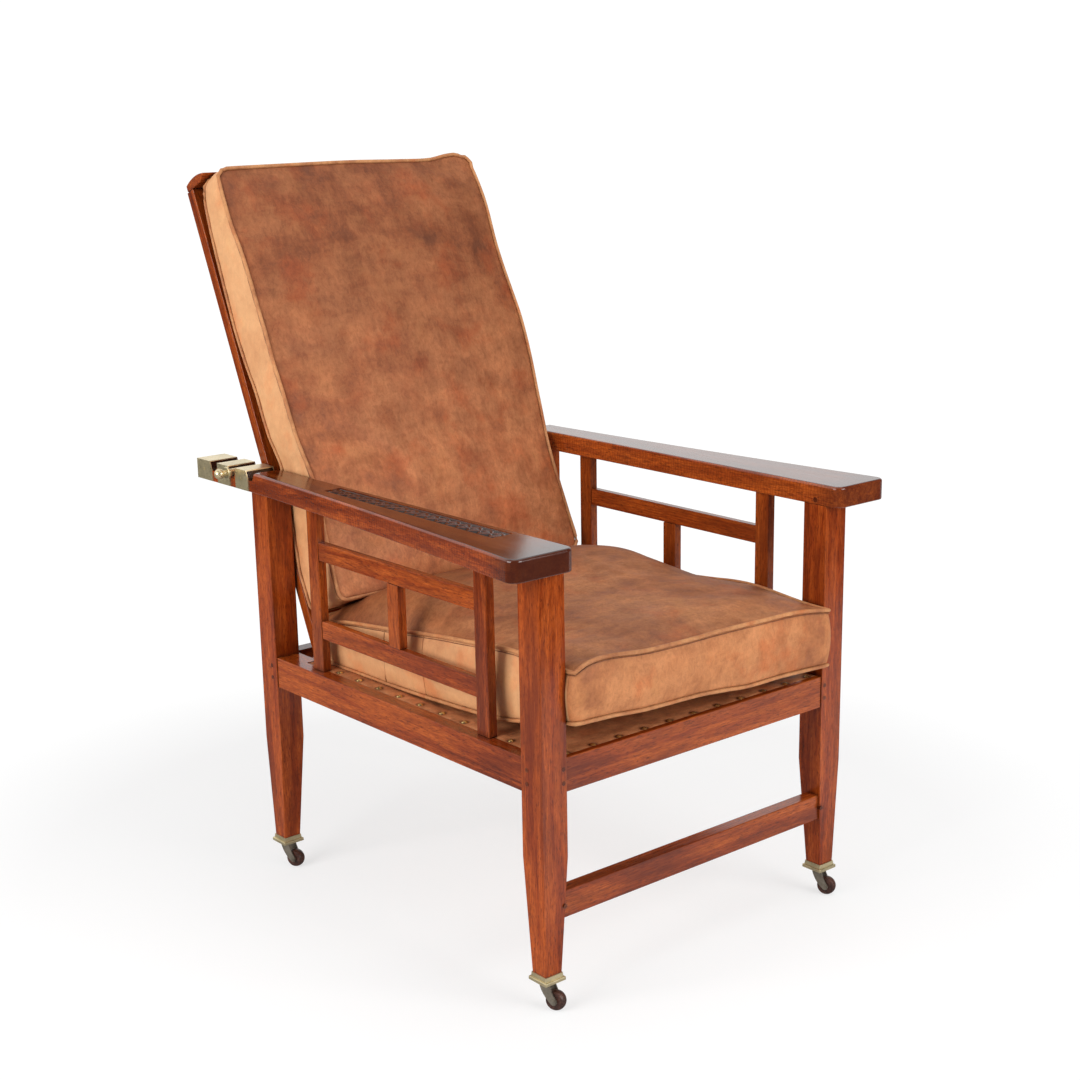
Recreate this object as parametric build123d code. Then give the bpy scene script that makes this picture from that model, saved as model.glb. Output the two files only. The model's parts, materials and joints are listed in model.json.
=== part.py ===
from build123d import *
import math
import os

# A mission reclining armchair. +X is the sitter's left, the chair faces -Y, +Z is up.
# The pieces are laid out with y = 0 at the front faces of the front legs and z = 0 on the floor.
# They are written with the origin under the middle of the whole chair.

# Seat frame
frame_width = 571
frame_depth = 665
leg_section = 42
foot_section = 27
foot_shift = 3
taper_height = 215
arris = 1.2
rail_top = 350
rail_height = 47
rail_setback = 2
rear_rail_thickness = 24
rear_rail_setback = 9
stretcher_bottom = 127
stretcher_height = 38
stretcher_thickness = 21
stretcher_setback = 5.5
tenon_thickness = 12
tenon_length = 24
tenon_shoulder = 7
peg_radius = 3
peg_length = 26
peg_proud = 0.4
peg_spacing = 19

# Leather seat deck, let into a rebate round the seat frame
lip_width = 20
front_lip_width = 8
rebate_depth = 4
deck_thickness = 2.5
deck_gap = 0.5
nail_radius = 4.6
nail_dome = 2.4
nail_shank_radius = 0.9
nail_shank_length = 9
nail_inset = 7
side_nail_start_gap = 9.5
side_nail_end_gap = 21
front_nail_end_gap = 13.5
side_nail_count = 11
front_nail_count = 11

# Hinge rail, which carries the back and the rear edge of the deck
hinge_rail_width = 46
hinge_rail_height = 36

# Arms
arm_underside = 601
arm_thickness = 30
arm_front_overhang = 23
last_tooth_length = 38.5
arm_front_width = 102
arm_rear_width = 46
arm_straight_length = 172
arm_corner_radius = 14
arm_ease_radius = 800
arm_top_radius = 4
arm_lower_radius = 1.5
arm_flare_share = 0.41
leg_stub_length = 13
leg_stub_section = 22
arm_plug_radius = 4
arm_plug_length = 14

# Carved strip, sunk into the top of the sitter's right arm
carving_start = 86
carving_length = 387
carving_front_width = 34
carving_rear_width = 28
carving_inset = 10.5
carving_depth = 2.5

# Side panels
panel_setback = 12
panel_thickness = 14
upright_width = 26
front_upright_gap = 81.3
rear_upright_gap = 83
upper_bar_share = 0.675
lower_bar_share = 0.203
bar_height = 27
bar_thickness = 12

# Reclining back
recline_angle = 23.2
hinge_setback = 29.5
knuckle_radius = 3.5
hinge_play = 0.3
stile_thickness = 19
stile_width = 36
stile_top = 733.5
back_side_gap = 4.2
bottom_rail_width = 58
slat_width = 56
slat_thickness = 9
slat_count = 4
back_tenon_length = 16
crest_rear_height = 9.5
crest_rise = 14
crest_tip_height = 8.5
crest_overhang = 27
crest_lip = 16
crest_rear_inset = 4
crest_end_overhang = 1

# Butt hinges at the foot of the back
hinge_leaf_thickness = 2
hinge_leaf_width = 18
hinge_leaf_gap = 0.2
hinge_length = 62
hinge_spread_share = 0.627
hinge_count = 3
hinge_knuckles = 5
hinge_pin_radius = 1.8
running_clearance = 0.05
knuckle_gap = 0.25
hinge_pin_overhang = 1
hinge_screw_radius = 3.2
hinge_screw_core = 1.4
hinge_screw_length = 13
hinge_screw_head = 1.1
hinge_screw_spacing = 22

# Support bar and the notches that it drops into
bar_radius = 5.5
bar_seat_play = 0.3
bar_sink = 7
notch_pitch = 52
notch_opening = 21
notch_foot = 10
bar_side_reach = 5
knob_collar_radius = 9.5
knob_collar_length = 3.5
knob_neck_radius = 4.5
knob_neck_length = 3
knob_ball_radius = 8
knob_bore_depth = 6
knob_tenon_radius = 3

# Brass saddles over the teeth
saddle_thickness = 1.4
saddle_skirt_gap = 1
saddle_pin_radius = 2.2
saddle_pin_proud = 0.8
saddle_pin_length = 7
saddle_pin_drop = 13

# Seat cushion
seat_cushion_side_gap = 5.5
seat_cushion_overhang = 15
seat_cushion_rear_gap = 48.5
seat_cushion_front_height = 118.5
seat_cushion_rear_height = 67.5
seat_cushion_crown = 22
seat_cushion_front_lift = 28
seat_cushion_side_draw = 5
seat_cushion_belly = 0.6
soft_gap = 0.4

# Back cushion, measured along the back (up) and out from it
back_cushion_side_inset = 2.3
back_cushion_front_inset = 5
back_cushion_foot = 63
back_cushion_head = 742
back_cushion_foot_out = 107
back_cushion_belly_out = 125
back_cushion_head_out = 99
back_cushion_crown = 12
back_cushion_side_draw = 5
back_cushion_end_draw = 5
back_cushion_head_ease = 17
back_cushion_rear_belly = 0.6

# Casters
wheel_radius = 14
wheel_width = 12
wheel_shoulder = 1.6
wheel_hub_radius = 5
wheel_hub_proud = 0.6
caster_trail = 12.5
caster_angle = 24
collar_bottom = 41.5
collar_height = 10.5
collar_base = 3
collar_lower_section = 35.5
collar_upper_section = 31
collar_band = 4.6
foot_fit = 0.1
fork_disc_radius = 9.5
fork_disc_thickness = 2.4
fork_disc_gap = 0.3
fork_bridge_thickness = 2.6
cheek_thickness = 2.4
cheek_gap = 0.5
cheek_top_half = 7
cheek_boss_radius = 4.6
stem_radius = 3.5
stem_length = 26
stem_head_room = 0.6
axle_radius = 2
axle_head_radius = 3.2
axle_head_length = 1

# One length to run cuts past the faces that they open
overrun = 3

# Places worked out from the sizes
half_width = frame_width / 2
leg_inner = half_width - leg_section
rear_leg_front = frame_depth - leg_section
rail_bottom = rail_top - rail_height
rail_outer = half_width - rail_setback
arm_top = arm_underside + arm_thickness
hinge_y = rear_leg_front - hinge_setback
hinge_z = rail_top + hinge_leaf_thickness
wood_off = knuckle_radius + hinge_play
lean = math.radians(recline_angle)
deck_bed = rail_top - rebate_depth
deck_top = deck_bed + deck_thickness
back_half_width = leg_inner - back_side_gap
back_front_off = wood_off + stile_thickness
hinge_rail_rear = hinge_y - wood_off
hinge_rail_front = hinge_rail_rear - hinge_rail_width
hinge_rebate_end = hinge_rail_rear - hinge_leaf_width - deck_gap

# The side panels stand between the rail's top and the arm
panel_height = arm_underside - rail_top
upright_outer = rail_outer - panel_setback
upright_inner = upright_outer - panel_thickness
panel_mid_x = (upright_outer + upright_inner) / 2
front_upright_start = leg_section + front_upright_gap
rear_upright_start = rear_leg_front - rear_upright_gap - upright_width
middle_upright_start = (front_upright_start + rear_upright_start) / 2
lower_bar_bottom = rail_top + panel_height * lower_bar_share
upper_bar_bottom = rail_top + panel_height * upper_bar_share

# The bar leans on the back, so its place follows the back's rear plane
bar_off = wood_off - bar_radius - bar_seat_play
bar_z = arm_top - bar_sink
bar_up = (bar_z - hinge_z - bar_off * math.sin(lean)) / math.cos(lean)
bar_y = hinge_y - bar_off * math.cos(lean) + bar_up * math.sin(lean)
notch_depth = bar_sink + bar_radius + bar_seat_play
notch_back = bar_y + (bar_radius + bar_seat_play) / math.cos(lean) + bar_sink * math.tan(lean)
arm_rear_end = notch_back + notch_pitch + last_tooth_length

# The crest runs from its rear face to the foot of its front face, and on to the tip of its lip
crest_rear_off = wood_off + crest_rear_inset
crest_front_off = back_front_off + crest_overhang
crest_tip_off = crest_front_off + crest_lip


def block(x0, x1, y0, y1, z0, z1):
    """A box between two corners."""
    centre = Pos((x0 + x1) / 2, (y0 + y1) / 2, (z0 + z1) / 2)
    return centre * Box(x1 - x0, y1 - y0, z1 - z0)


def softened(x0, x1, y0, y1, z0, z1, radius=arris):
    """A planed board with its arrises taken off."""
    board = block(x0, x1, y0, y1, z0, z1)
    return fillet(board.edges(), radius=radius)


def side_prism(points, x0, x1):
    """A prism whose outline is drawn in the side view, as (y, z) points."""
    outline = Wire.make_polygon([Vector(x0, y, z) for y, z in points], close=True)
    return Solid.extrude(Face(outline), Vector(x1 - x0, 0, 0))


def cylinder_between(start, end, radius):
    """A round bar between two points."""
    start = Vector(*start)
    along = Vector(*end) - start
    plane = Plane(origin=start, z_dir=along)
    return Solid.make_cylinder(radius, along.length, plane)


def on_side(shape, side):
    """The shape itself for the sitter's left (+1), its mirror image for the right (-1)."""
    return shape if side > 0 else mirror(shape, about=Plane.YZ)


def lay_back(shape):
    """Moves a shape from the back's own axes (y out behind, z up the back) into its leaning place."""
    return Pos(0, hinge_y, hinge_z) * Rot(-recline_angle, 0, 0) * shape


def group(solids):
    """Separate solids kept as one sub-part."""
    return Compound(children=[solid for item in solids for solid in item.solids()])


def one_solid(shape):
    """The main solid of a boolean's result."""
    return shape.solids().sort_by(SortBy.VOLUME)[-1]


def carve(shape, cutters):
    """A solid with room cut into it for the pieces that enter it."""
    tools = [solid for cutter in cutters for solid in cutter.solids()]
    return one_solid(one_solid(shape).cut(*tools))


# Legs
leg_places = {
    "front": leg_section / 2,
    "rear": frame_depth - leg_section / 2,
}
leg_axis_x = half_width - leg_section / 2


def foot_centre(end):
    """Where the foot of a left-hand leg stands: it tapers more on its inner faces."""
    outward = -foot_shift if end == "front" else foot_shift
    return leg_axis_x + foot_shift, leg_places[end] + outward


def make_leg(end):
    """A square leg with a tapered foot and a stub tenon into the arm."""
    y = leg_places[end]
    foot_x, foot_y = foot_centre(end)
    square = RectangleRounded(leg_section, leg_section, arris)
    shaft = extrude(Pos(leg_axis_x, y, taper_height) * square, arm_underside - taper_height)
    foot_end = Pos(foot_x, foot_y, collar_bottom + collar_base)
    foot = loft(
        [
            foot_end * RectangleRounded(foot_section, foot_section, arris),
            Pos(leg_axis_x, y, taper_height) * square,
        ],
        ruled=True,
    )
    stub_half = leg_stub_section / 2
    stub = block(
        leg_axis_x - stub_half,
        leg_axis_x + stub_half,
        y - stub_half,
        y + stub_half,
        arm_underside,
        arm_underside + leg_stub_length,
    )
    stem_bore = Pos(foot_x, foot_y, collar_bottom) * Cylinder(
        stem_radius + stem_head_room,
        stem_length + stem_head_room,
        align=(Align.CENTER, Align.CENTER, Align.MIN),
    )
    return shaft + foot + stub - stem_bore


# Seat rails and the low stretcher
tenon_low = rail_bottom + tenon_shoulder
tenon_high = deck_bed - tenon_shoulder


def make_side_rail():
    """The left side rail, rebated along its inner top edge for the deck."""
    y0 = leg_section
    y1 = rear_leg_front
    rail = softened(leg_inner, rail_outer, y0, y1, rail_bottom, rail_top)
    rebate_outer = rail_outer - lip_width
    rebate = block(
        leg_inner - overrun, rebate_outer, y0 - overrun, hinge_rebate_end, deck_bed, rail_top + overrun
    )
    tenon_mid = (leg_inner + rail_outer) / 2
    tenon = block(
        tenon_mid - tenon_thickness / 2,
        tenon_mid + tenon_thickness / 2,
        y0 - tenon_length,
        y1 + tenon_length,
        tenon_low,
        tenon_high,
    )
    return rail - rebate + tenon


def make_front_rail():
    """The front rail, rebated like the side rails."""
    y0 = rail_setback
    y1 = leg_section
    rail = softened(-leg_inner, leg_inner, y0, y1, rail_bottom, rail_top)
    rebate = block(
        -leg_inner - overrun,
        leg_inner + overrun,
        y0 + front_lip_width,
        y1 + overrun,
        deck_bed,
        rail_top + overrun,
    )
    tenon_mid = (y0 + y1) / 2
    tenon = block(
        -leg_inner - front_tenon_length,
        leg_inner + front_tenon_length,
        tenon_mid - tenon_thickness / 2,
        tenon_mid + tenon_thickness / 2,
        tenon_low,
        tenon_high,
    )
    return rail - rebate + tenon


front_tenon_length = (leg_section - tenon_thickness) / 2 - tenon_shoulder / 2


def make_rear_rail():
    """The rear rail between the rear legs."""
    y1 = frame_depth - rear_rail_setback
    y0 = y1 - rear_rail_thickness
    rail = softened(-leg_inner, leg_inner, y0, y1, rail_bottom, rail_top)
    tenon_mid = (y0 + y1) / 2
    tenon = block(
        -leg_inner - front_tenon_length,
        leg_inner + front_tenon_length,
        tenon_mid - tenon_thickness / 2,
        tenon_mid + tenon_thickness / 2,
        tenon_low,
        tenon_high,
    )
    return rail + tenon


def make_hinge_rail():
    """The cross rail under the foot of the back, with a rebate for the deck's rear edge."""
    z0 = rail_top - hinge_rail_height
    rail = softened(-leg_inner, leg_inner, hinge_rail_front, hinge_rail_rear, z0, rail_top)
    rebate = block(
        -leg_inner - overrun,
        leg_inner + overrun,
        hinge_rail_front - overrun,
        hinge_rebate_end,
        deck_bed,
        rail_top + overrun,
    )
    mid = (hinge_rail_front + hinge_rail_rear) / 2
    tenon = block(
        -leg_inner - tenon_length,
        leg_inner + tenon_length,
        mid - tenon_thickness / 2,
        mid + tenon_thickness / 2,
        z0 + tenon_shoulder,
        deck_bed - tenon_shoulder,
    )
    return rail - rebate + tenon


def make_stretcher(legs):
    """The low front stretcher, shouldered against the tapered legs."""
    z0 = stretcher_bottom
    z1 = stretcher_bottom + stretcher_height
    y0 = stretcher_setback
    y1 = stretcher_setback + stretcher_thickness
    board = softened(-leg_axis_x, leg_axis_x, y0, y1, z0, z1)
    between = carve(board, legs)
    tenon_mid = (y0 + y1) / 2
    tenon = block(
        -leg_inner - front_tenon_length,
        leg_inner + front_tenon_length,
        tenon_mid - tenon_thickness / 2,
        tenon_mid + tenon_thickness / 2,
        z0 + tenon_shoulder,
        z1 - tenon_shoulder,
    )
    return between + tenon


# Dowel pegs through the joints
peg_depth = peg_length - peg_proud


def pegs():
    """Every dowel peg, each standing slightly proud of the leg that it pins."""
    made = []
    rail_heights = [
        (rail_bottom + rail_top) / 2 - peg_spacing / 2,
        (rail_bottom + rail_top) / 2 + peg_spacing / 2,
    ]
    stretcher_mid = stretcher_bottom + stretcher_height / 2
    side_tenon_y = {
        "front": leg_section - tenon_length / 2,
        "rear": rear_leg_front + tenon_length / 2,
    }
    cross_tenon_x = leg_inner + front_tenon_length / 2
    for side in (-1, 1):
        for y in side_tenon_y.values():
            for z in rail_heights:
                start = (side * (half_width + peg_proud), y, z)
                end = (side * (half_width - peg_depth), y, z)
                made.append(cylinder_between(start, end, peg_radius))
        for z in rail_heights:
            front = (side * cross_tenon_x, -peg_proud, z)
            made.append(cylinder_between(front, (side * cross_tenon_x, peg_depth, z), peg_radius))
            rear = (side * cross_tenon_x, frame_depth + peg_proud, z)
            rear_end = (side * cross_tenon_x, frame_depth - peg_depth, z)
            made.append(cylinder_between(rear, rear_end, peg_radius))
        x = side * cross_tenon_x
        made.append(cylinder_between((x, 0, stretcher_mid), (x, peg_depth, stretcher_mid), peg_radius))
    return made


# Seat deck and its nails
deck_half_width = rail_outer - lip_width - deck_gap
deck_front = rail_setback + front_lip_width + deck_gap
deck_rear = hinge_rebate_end - deck_gap


def nail_places():
    """Where the deck's nails stand, as (x, y)."""
    places = []
    side_x = upright_inner - nail_radius - deck_gap
    side_start = leg_section + side_nail_start_gap
    side_pitch = (deck_rear - side_nail_end_gap - side_start) / (side_nail_count - 1)
    for index in range(side_nail_count):
        y = side_start + index * side_pitch
        places.append((-side_x, y))
        places.append((side_x, y))
    front_start = -leg_inner + front_nail_end_gap
    front_pitch = -2 * front_start / (front_nail_count - 1)
    for index in range(front_nail_count):
        x = front_start + index * front_pitch
        places.append((x, deck_front + nail_inset))
        places.append((x, deck_rear - nail_inset))
    return places


def nail():
    """One upholstery nail: a domed head and its shank, standing on z = 0."""
    rise = nail_dome
    sphere_radius = (nail_radius * nail_radius + rise * rise) / (2 * rise)
    ball = Pos(0, 0, rise - sphere_radius) * Sphere(sphere_radius)
    above = Pos(0, 0, sphere_radius) * Box(2 * sphere_radius, 2 * sphere_radius, 2 * sphere_radius)
    shank = Cylinder(
        nail_shank_radius, nail_shank_length, align=(Align.CENTER, Align.CENTER, Align.MAX)
    )
    return (ball & above) + shank


def make_deck():
    """The nailed leather, cut round the front legs."""
    sheet = block(-deck_half_width, deck_half_width, deck_front, deck_rear, deck_bed, deck_top)
    for side in (-1, 1):
        x0, x1 = sorted((side * (leg_inner - deck_gap), side * half_width))
        corner = block(x0, x1, 0, leg_section + deck_gap, deck_bed - overrun, deck_top + overrun)
        sheet = sheet - corner
    return sheet


# Arms
arm_inner = leg_inner
arm_front_outer = arm_inner + arm_front_width
arm_rear_outer = arm_inner + arm_rear_width
arm_straight_start = arm_rear_end - arm_straight_length


def arm_outline():
    """Plan of the left arm: straight inside, hollow outside, widening to the front."""
    y_front = -arm_front_overhang
    middle = (y_front + arm_straight_start) / 2
    flare = arm_rear_outer + (arm_front_outer - arm_rear_outer) * arm_flare_share
    corners = [(arm_inner, y_front), (arm_front_outer, y_front)]
    ease = (arm_rear_outer, arm_straight_start)
    edges = [
        Edge.make_line((arm_inner, arm_rear_end), corners[0]),
        Edge.make_line(corners[0], corners[1]),
        Edge.make_three_point_arc(corners[1], (flare, middle), ease),
        Edge.make_line(ease, (arm_rear_outer, arm_rear_end)),
        Edge.make_line((arm_rear_outer, arm_rear_end), (arm_inner, arm_rear_end)),
    ]
    plan = Face(Wire(edges))
    front = [vertex for vertex in plan.vertices() if vertex.Y < 0]
    plan = fillet(front, radius=arm_corner_radius).face()
    kink = [vertex for vertex in plan.vertices() if abs(vertex.Y - arm_straight_start) < arris]
    return fillet(kink, radius=arm_ease_radius).face()


def notch_prism(index, x0, x1):
    """The cut of one notch: index 0 holds the bar, -1 is in front of it and 1 behind it."""
    back = notch_back + index * notch_pitch
    floor = arm_top - notch_depth
    wall_run = math.tan(lean)
    front = back - notch_opening
    return side_prism(
        [
            (back + overrun * wall_run, arm_top + overrun),
            (back - notch_depth * wall_run, floor),
            (back - notch_depth * wall_run - notch_foot, floor),
            (front, arm_top),
            (front, arm_top + overrun),
        ],
        x0,
        x1,
    )


notch_indexes = (-1, 0, 1)


def carving_pocket():
    """The sunk strip in the top of the sitter's right arm, mirrored onto that side."""
    x = arm_inner + carving_inset
    end = carving_start + carving_length
    floor = arm_top - carving_depth
    outline = Wire.make_polygon(
        [
            Vector(x, carving_start, floor),
            Vector(x + carving_front_width, carving_start, floor),
            Vector(x + carving_rear_width, end, floor),
            Vector(x, end, floor),
        ],
        close=True,
    )
    return Solid.extrude(Face(outline), Vector(0, 0, carving_depth + overrun))


def make_arm(side, legs):
    """One arm board with its notches and the mortises for the legs' stub tenons."""
    board = Pos(0, 0, arm_underside) * extrude(arm_outline(), arm_thickness)
    board = fillet(board.faces().sort_by(Axis.Z)[-1].edges(), radius=arm_top_radius)
    board = fillet(board.faces().sort_by(Axis.Z)[0].edges(), radius=arm_lower_radius)
    x0 = arm_inner - overrun
    x1 = arm_front_outer + overrun
    for index in notch_indexes:
        board = board - notch_prism(index, x0, x1)
    if side < 0:
        board = board - carving_pocket()
    return carve(on_side(board, side), legs)


def arm_plugs():
    """Plugs in the arms' inner faces, over the front legs' stub tenons."""
    z = arm_underside + leg_stub_length / 2
    y = leg_places["front"]
    made = []
    for side in (-1, 1):
        start = (side * arm_inner, y, z)
        made.append(cylinder_between(start, (side * (arm_inner + arm_plug_length), y, z), arm_plug_radius))
    return made


# Side panels
def make_upright(start, z0, z1):
    """One upright of the left side panel."""
    return softened(upright_inner, upright_outer, start, start + upright_width, z0, z1)


def make_bar(z0):
    """One horizontal bar between the outer uprights."""
    x0 = panel_mid_x - bar_thickness / 2
    x1 = panel_mid_x + bar_thickness / 2
    y0 = front_upright_start + upright_width
    return softened(x0, x1, y0, rear_upright_start, z0, z0 + bar_height)


# Brass saddles
def saddle_span(index):
    """Front and rear edge of the saddle behind a notch."""
    front = notch_back + index * notch_pitch
    if index == notch_indexes[-1]:
        return front, arm_rear_end
    return front, front + notch_pitch - notch_opening


def make_saddle(index):
    """A bent brass plate over the tooth behind one notch, with skirts down both faces."""
    front, rear = saddle_span(index)
    t = saddle_thickness
    front_reach = notch_depth * math.tan(lean)
    outer = block(
        arm_inner - t, arm_rear_outer + t, front - front_reach, rear, arm_underside + saddle_skirt_gap, arm_top + t
    )
    core = block(
        arm_inner, arm_rear_outer, front - overrun - front_reach, rear + overrun, arm_underside, arm_top
    )
    plate = outer - core
    wall_run = math.tan(lean)
    clear = side_prism(
        [
            (front + overrun * wall_run, arm_top + overrun),
            (front - notch_depth * wall_run, arm_top - notch_depth),
            (front - notch_depth * wall_run, arm_underside),
            (front - notch_pitch, arm_underside),
            (front - notch_pitch, arm_top + overrun),
        ],
        arm_inner - overrun,
        arm_rear_outer + overrun,
    )
    return one_solid(plate - clear)


def saddle_pins(side):
    """Round-headed pins that hold the saddles' skirts to the arm's outer face."""
    made = []
    for index in notch_indexes:
        front, rear = saddle_span(index)
        y = (front + rear) / 2
        z = arm_top - saddle_pin_drop
        face = arm_rear_outer + saddle_thickness
        start = (side * (face + saddle_pin_proud), y, z)
        end = (side * (face - saddle_pin_length), y, z)
        made.append(cylinder_between(start, end, saddle_pin_radius))
    return made


# Support bar
bar_half_length = arm_rear_outer + saddle_thickness + bar_side_reach


def make_bar_rod():
    """The rod, with a turned-down end for each knob."""
    rod = cylinder_between((-bar_half_length, bar_y, bar_z), (bar_half_length, bar_y, bar_z), bar_radius)
    for side in (-1, 1):
        start = (side * bar_half_length, bar_y, bar_z)
        end = (side * (bar_half_length + knob_bore_depth), bar_y, bar_z)
        rod = rod + cylinder_between(start, end, knob_tenon_radius)
    return rod


def make_knob(side):
    """A turned knob: collar, neck and ball, bored for the rod's end."""
    x0 = bar_half_length
    x1 = x0 + knob_collar_length
    x2 = x1 + knob_neck_length
    ball_x = x2 + knob_ball_radius
    sink = knob_ball_radius - math.sqrt(knob_ball_radius**2 - knob_neck_radius**2)
    collar = cylinder_between((x0, bar_y, bar_z), (x1, bar_y, bar_z), knob_collar_radius)
    collar = fillet(collar.edges(), radius=arris)
    neck = cylinder_between((x1, bar_y, bar_z), (x2 + sink, bar_y, bar_z), knob_neck_radius)
    ball = Pos(ball_x, bar_y, bar_z) * Sphere(knob_ball_radius)
    bore = cylinder_between((x0, bar_y, bar_z), (x0 + knob_bore_depth, bar_y, bar_z), knob_tenon_radius)
    return on_side(one_solid(collar + neck + ball - bore), side)


# Back frame, in its own axes: y is minus the distance out, z runs up the back
back_foot = hinge_leaf_thickness + hinge_leaf_gap
slat_front_y = -back_front_off
stile_inner = back_half_width - stile_width


def make_stile(side, tenons):
    """One stile, mortised for the slats and the bottom rail."""
    x0, x1 = sorted((side * stile_inner, side * back_half_width))
    post = softened(x0, x1, slat_front_y, -wood_off, back_foot, stile_top)
    return carve(post, tenons)


def cross_tenon(z0, z1, thickness):
    """The bar through a rail or slat that ends in its two tenons."""
    mid = slat_front_y + thickness / 2
    half = thickness / 4
    return block(
        -stile_inner - back_tenon_length,
        stile_inner + back_tenon_length,
        mid - half,
        mid + half,
        z0 + tenon_shoulder,
        z1 - tenon_shoulder,
    )


def make_cross_member(z0, z1, thickness):
    """A rail or slat between the stiles, flush with their front faces, with a tenon at each end."""
    member = softened(-stile_inner, stile_inner, slat_front_y, slat_front_y + thickness, z0, z1)
    return member + cross_tenon(z0, z1, thickness)


def slat_places():
    """Lower edge of each slat, evenly spread between the bottom rail and the crest."""
    low = back_foot + bottom_rail_width
    gap = (stile_top - low - slat_count * slat_width) / (slat_count + 1)
    return [low + gap + index * (slat_width + gap) for index in range(slat_count)]


def make_crest():
    """The capping rail: flat below, rounded above, with a lip that leans forward over the cushion."""
    x0 = -back_half_width - crest_end_overhang
    rear_low = Vector(x0, -crest_rear_off, stile_top)
    rear_high = Vector(x0, -crest_rear_off, stile_top + crest_rear_height)
    summit = Vector(x0, -(crest_rear_off + crest_tip_off) / 2, stile_top + crest_rise)
    tip = Vector(x0, -crest_tip_off, stile_top + crest_tip_height)
    front_low = Vector(x0, -crest_front_off, stile_top)
    outline = Wire(
        [
            Edge.make_line(rear_low, rear_high),
            Edge.make_three_point_arc(rear_high, summit, tip),
            Edge.make_line(tip, front_low),
            Edge.make_line(front_low, rear_low),
        ]
    )
    crest = Solid.extrude(Face(outline), Vector(-2 * x0, 0, 0))
    return fillet(crest.edges(), radius=arris)


# Butt hinges, in the back's own axes
hinge_spread = back_half_width * hinge_spread_share * (hinge_count - 1)
hinge_offsets = [hinge_spread * (index / (hinge_count - 1) - 1 / 2) for index in range(hinge_count)]
knuckle_length = hinge_length / hinge_knuckles


def hinge_leaf(x, moving):
    """One leaf with its own knuckles. The moving leaf has the even knuckles, the fixed one the odd."""
    x0 = x - hinge_length / 2
    near = knuckle_radius + hinge_play
    if moving:
        plate = block(x0, x0 + hinge_length, -near - hinge_leaf_width, -near, hinge_leaf_gap, back_foot)
    else:
        plate = block(x0, x0 + hinge_length, -near - hinge_leaf_width, -near, -hinge_leaf_thickness, 0)
    leaf = plate
    for index in range(hinge_knuckles):
        if (index % 2 == 1) != moving:
            continue
        start = x0 + index * knuckle_length + knuckle_gap / 2
        end = start + knuckle_length - knuckle_gap
        barrel = cylinder_between((start, 0, 0), (end, 0, 0), knuckle_radius)
        if moving:
            web = block(start, end, -near, 0, hinge_leaf_gap, back_foot)
        else:
            web = block(start, end, -near, 0, -hinge_leaf_thickness, 0)
        leaf = leaf + barrel + web
    bore = cylinder_between(
        (x0 - overrun, 0, 0), (x0 + hinge_length + overrun, 0, 0), hinge_pin_radius + running_clearance
    )
    return one_solid(leaf - bore)


def hinge_pin(x):
    """The pin through one hinge."""
    reach = hinge_length / 2 + hinge_pin_overhang
    return cylinder_between((x - reach, 0, 0), (x + reach, 0, 0), hinge_pin_radius)


def hinge_screws(moving):
    """Countersunk screws of one kind of leaf, each head let into the leaf."""
    made = []
    y = -knuckle_radius - hinge_play - hinge_leaf_width / 2
    for x in hinge_offsets:
        for step in (-1, 0, 1):
            sx = x + step * hinge_screw_spacing
            if moving:
                head = (sx, y, hinge_leaf_gap)
                under = (sx, y, hinge_leaf_gap + hinge_screw_head)
                tip = (sx, y, hinge_leaf_gap + hinge_screw_length)
            else:
                head = (sx, y, 0)
                under = (sx, y, -hinge_screw_head)
                tip = (sx, y, -hinge_screw_length)
            screw = cylinder_between(head, under, hinge_screw_radius)
            screw = screw + cylinder_between(under, tip, hinge_screw_core)
            made.append(one_solid(screw))
    return made


def on_hinge_rail(shape):
    """Places a hinge piece that stays with the seat frame: its leaf lies flat on the rail."""
    return Pos(0, hinge_y, hinge_z) * shape


# Cushions
def cushion_slice(place, low_half, high_half, low, high, low_bow, high_bow, side_draw):
    """A slice across a cushion: four welts joined by bowed panels."""
    middle = (low + high) / 2
    middle_half = (low_half + high_half) / 2 - side_draw
    corners = [place(-low_half, low), place(low_half, low), place(high_half, high), place(-high_half, high)]
    bows = [
        place(0, low - low_bow),
        place(middle_half, middle),
        place(0, high + high_bow),
        place(-middle_half, middle),
    ]
    edges = [
        Edge.make_three_point_arc(corners[index], bows[index], corners[(index + 1) % len(corners)])
        for index in range(len(corners))
    ]
    return Wire(edges)


# Along the seat cushion from front to rear: place, width, height of the welt, crown and lift
seat_place_shares = (0.0, 0.012, 0.09, 0.25, 0.45, 0.66, 0.83, 0.92, 0.988, 1.0)
seat_width_shares = (0.962, 0.996, 1.0, 0.994, 0.99, 0.992, 0.998, 1.0, 0.996, 0.97)
seat_height_shares = (0.88, 0.98, 1.0, 1.0, 0.76, 0.47, 0.245, 0.12, 0.0, -0.1)
seat_crown_shares = (0.03, 0.05, 0.08, 0.14, 0.6, 1.0, 0.86, 0.32, 0.06, 0.03)
seat_lift_shares = (1.08, 0.95, 0.72, 0.4, 0.14, 0.03, 0.0, 0.0, 0.1, 0.4)


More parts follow.
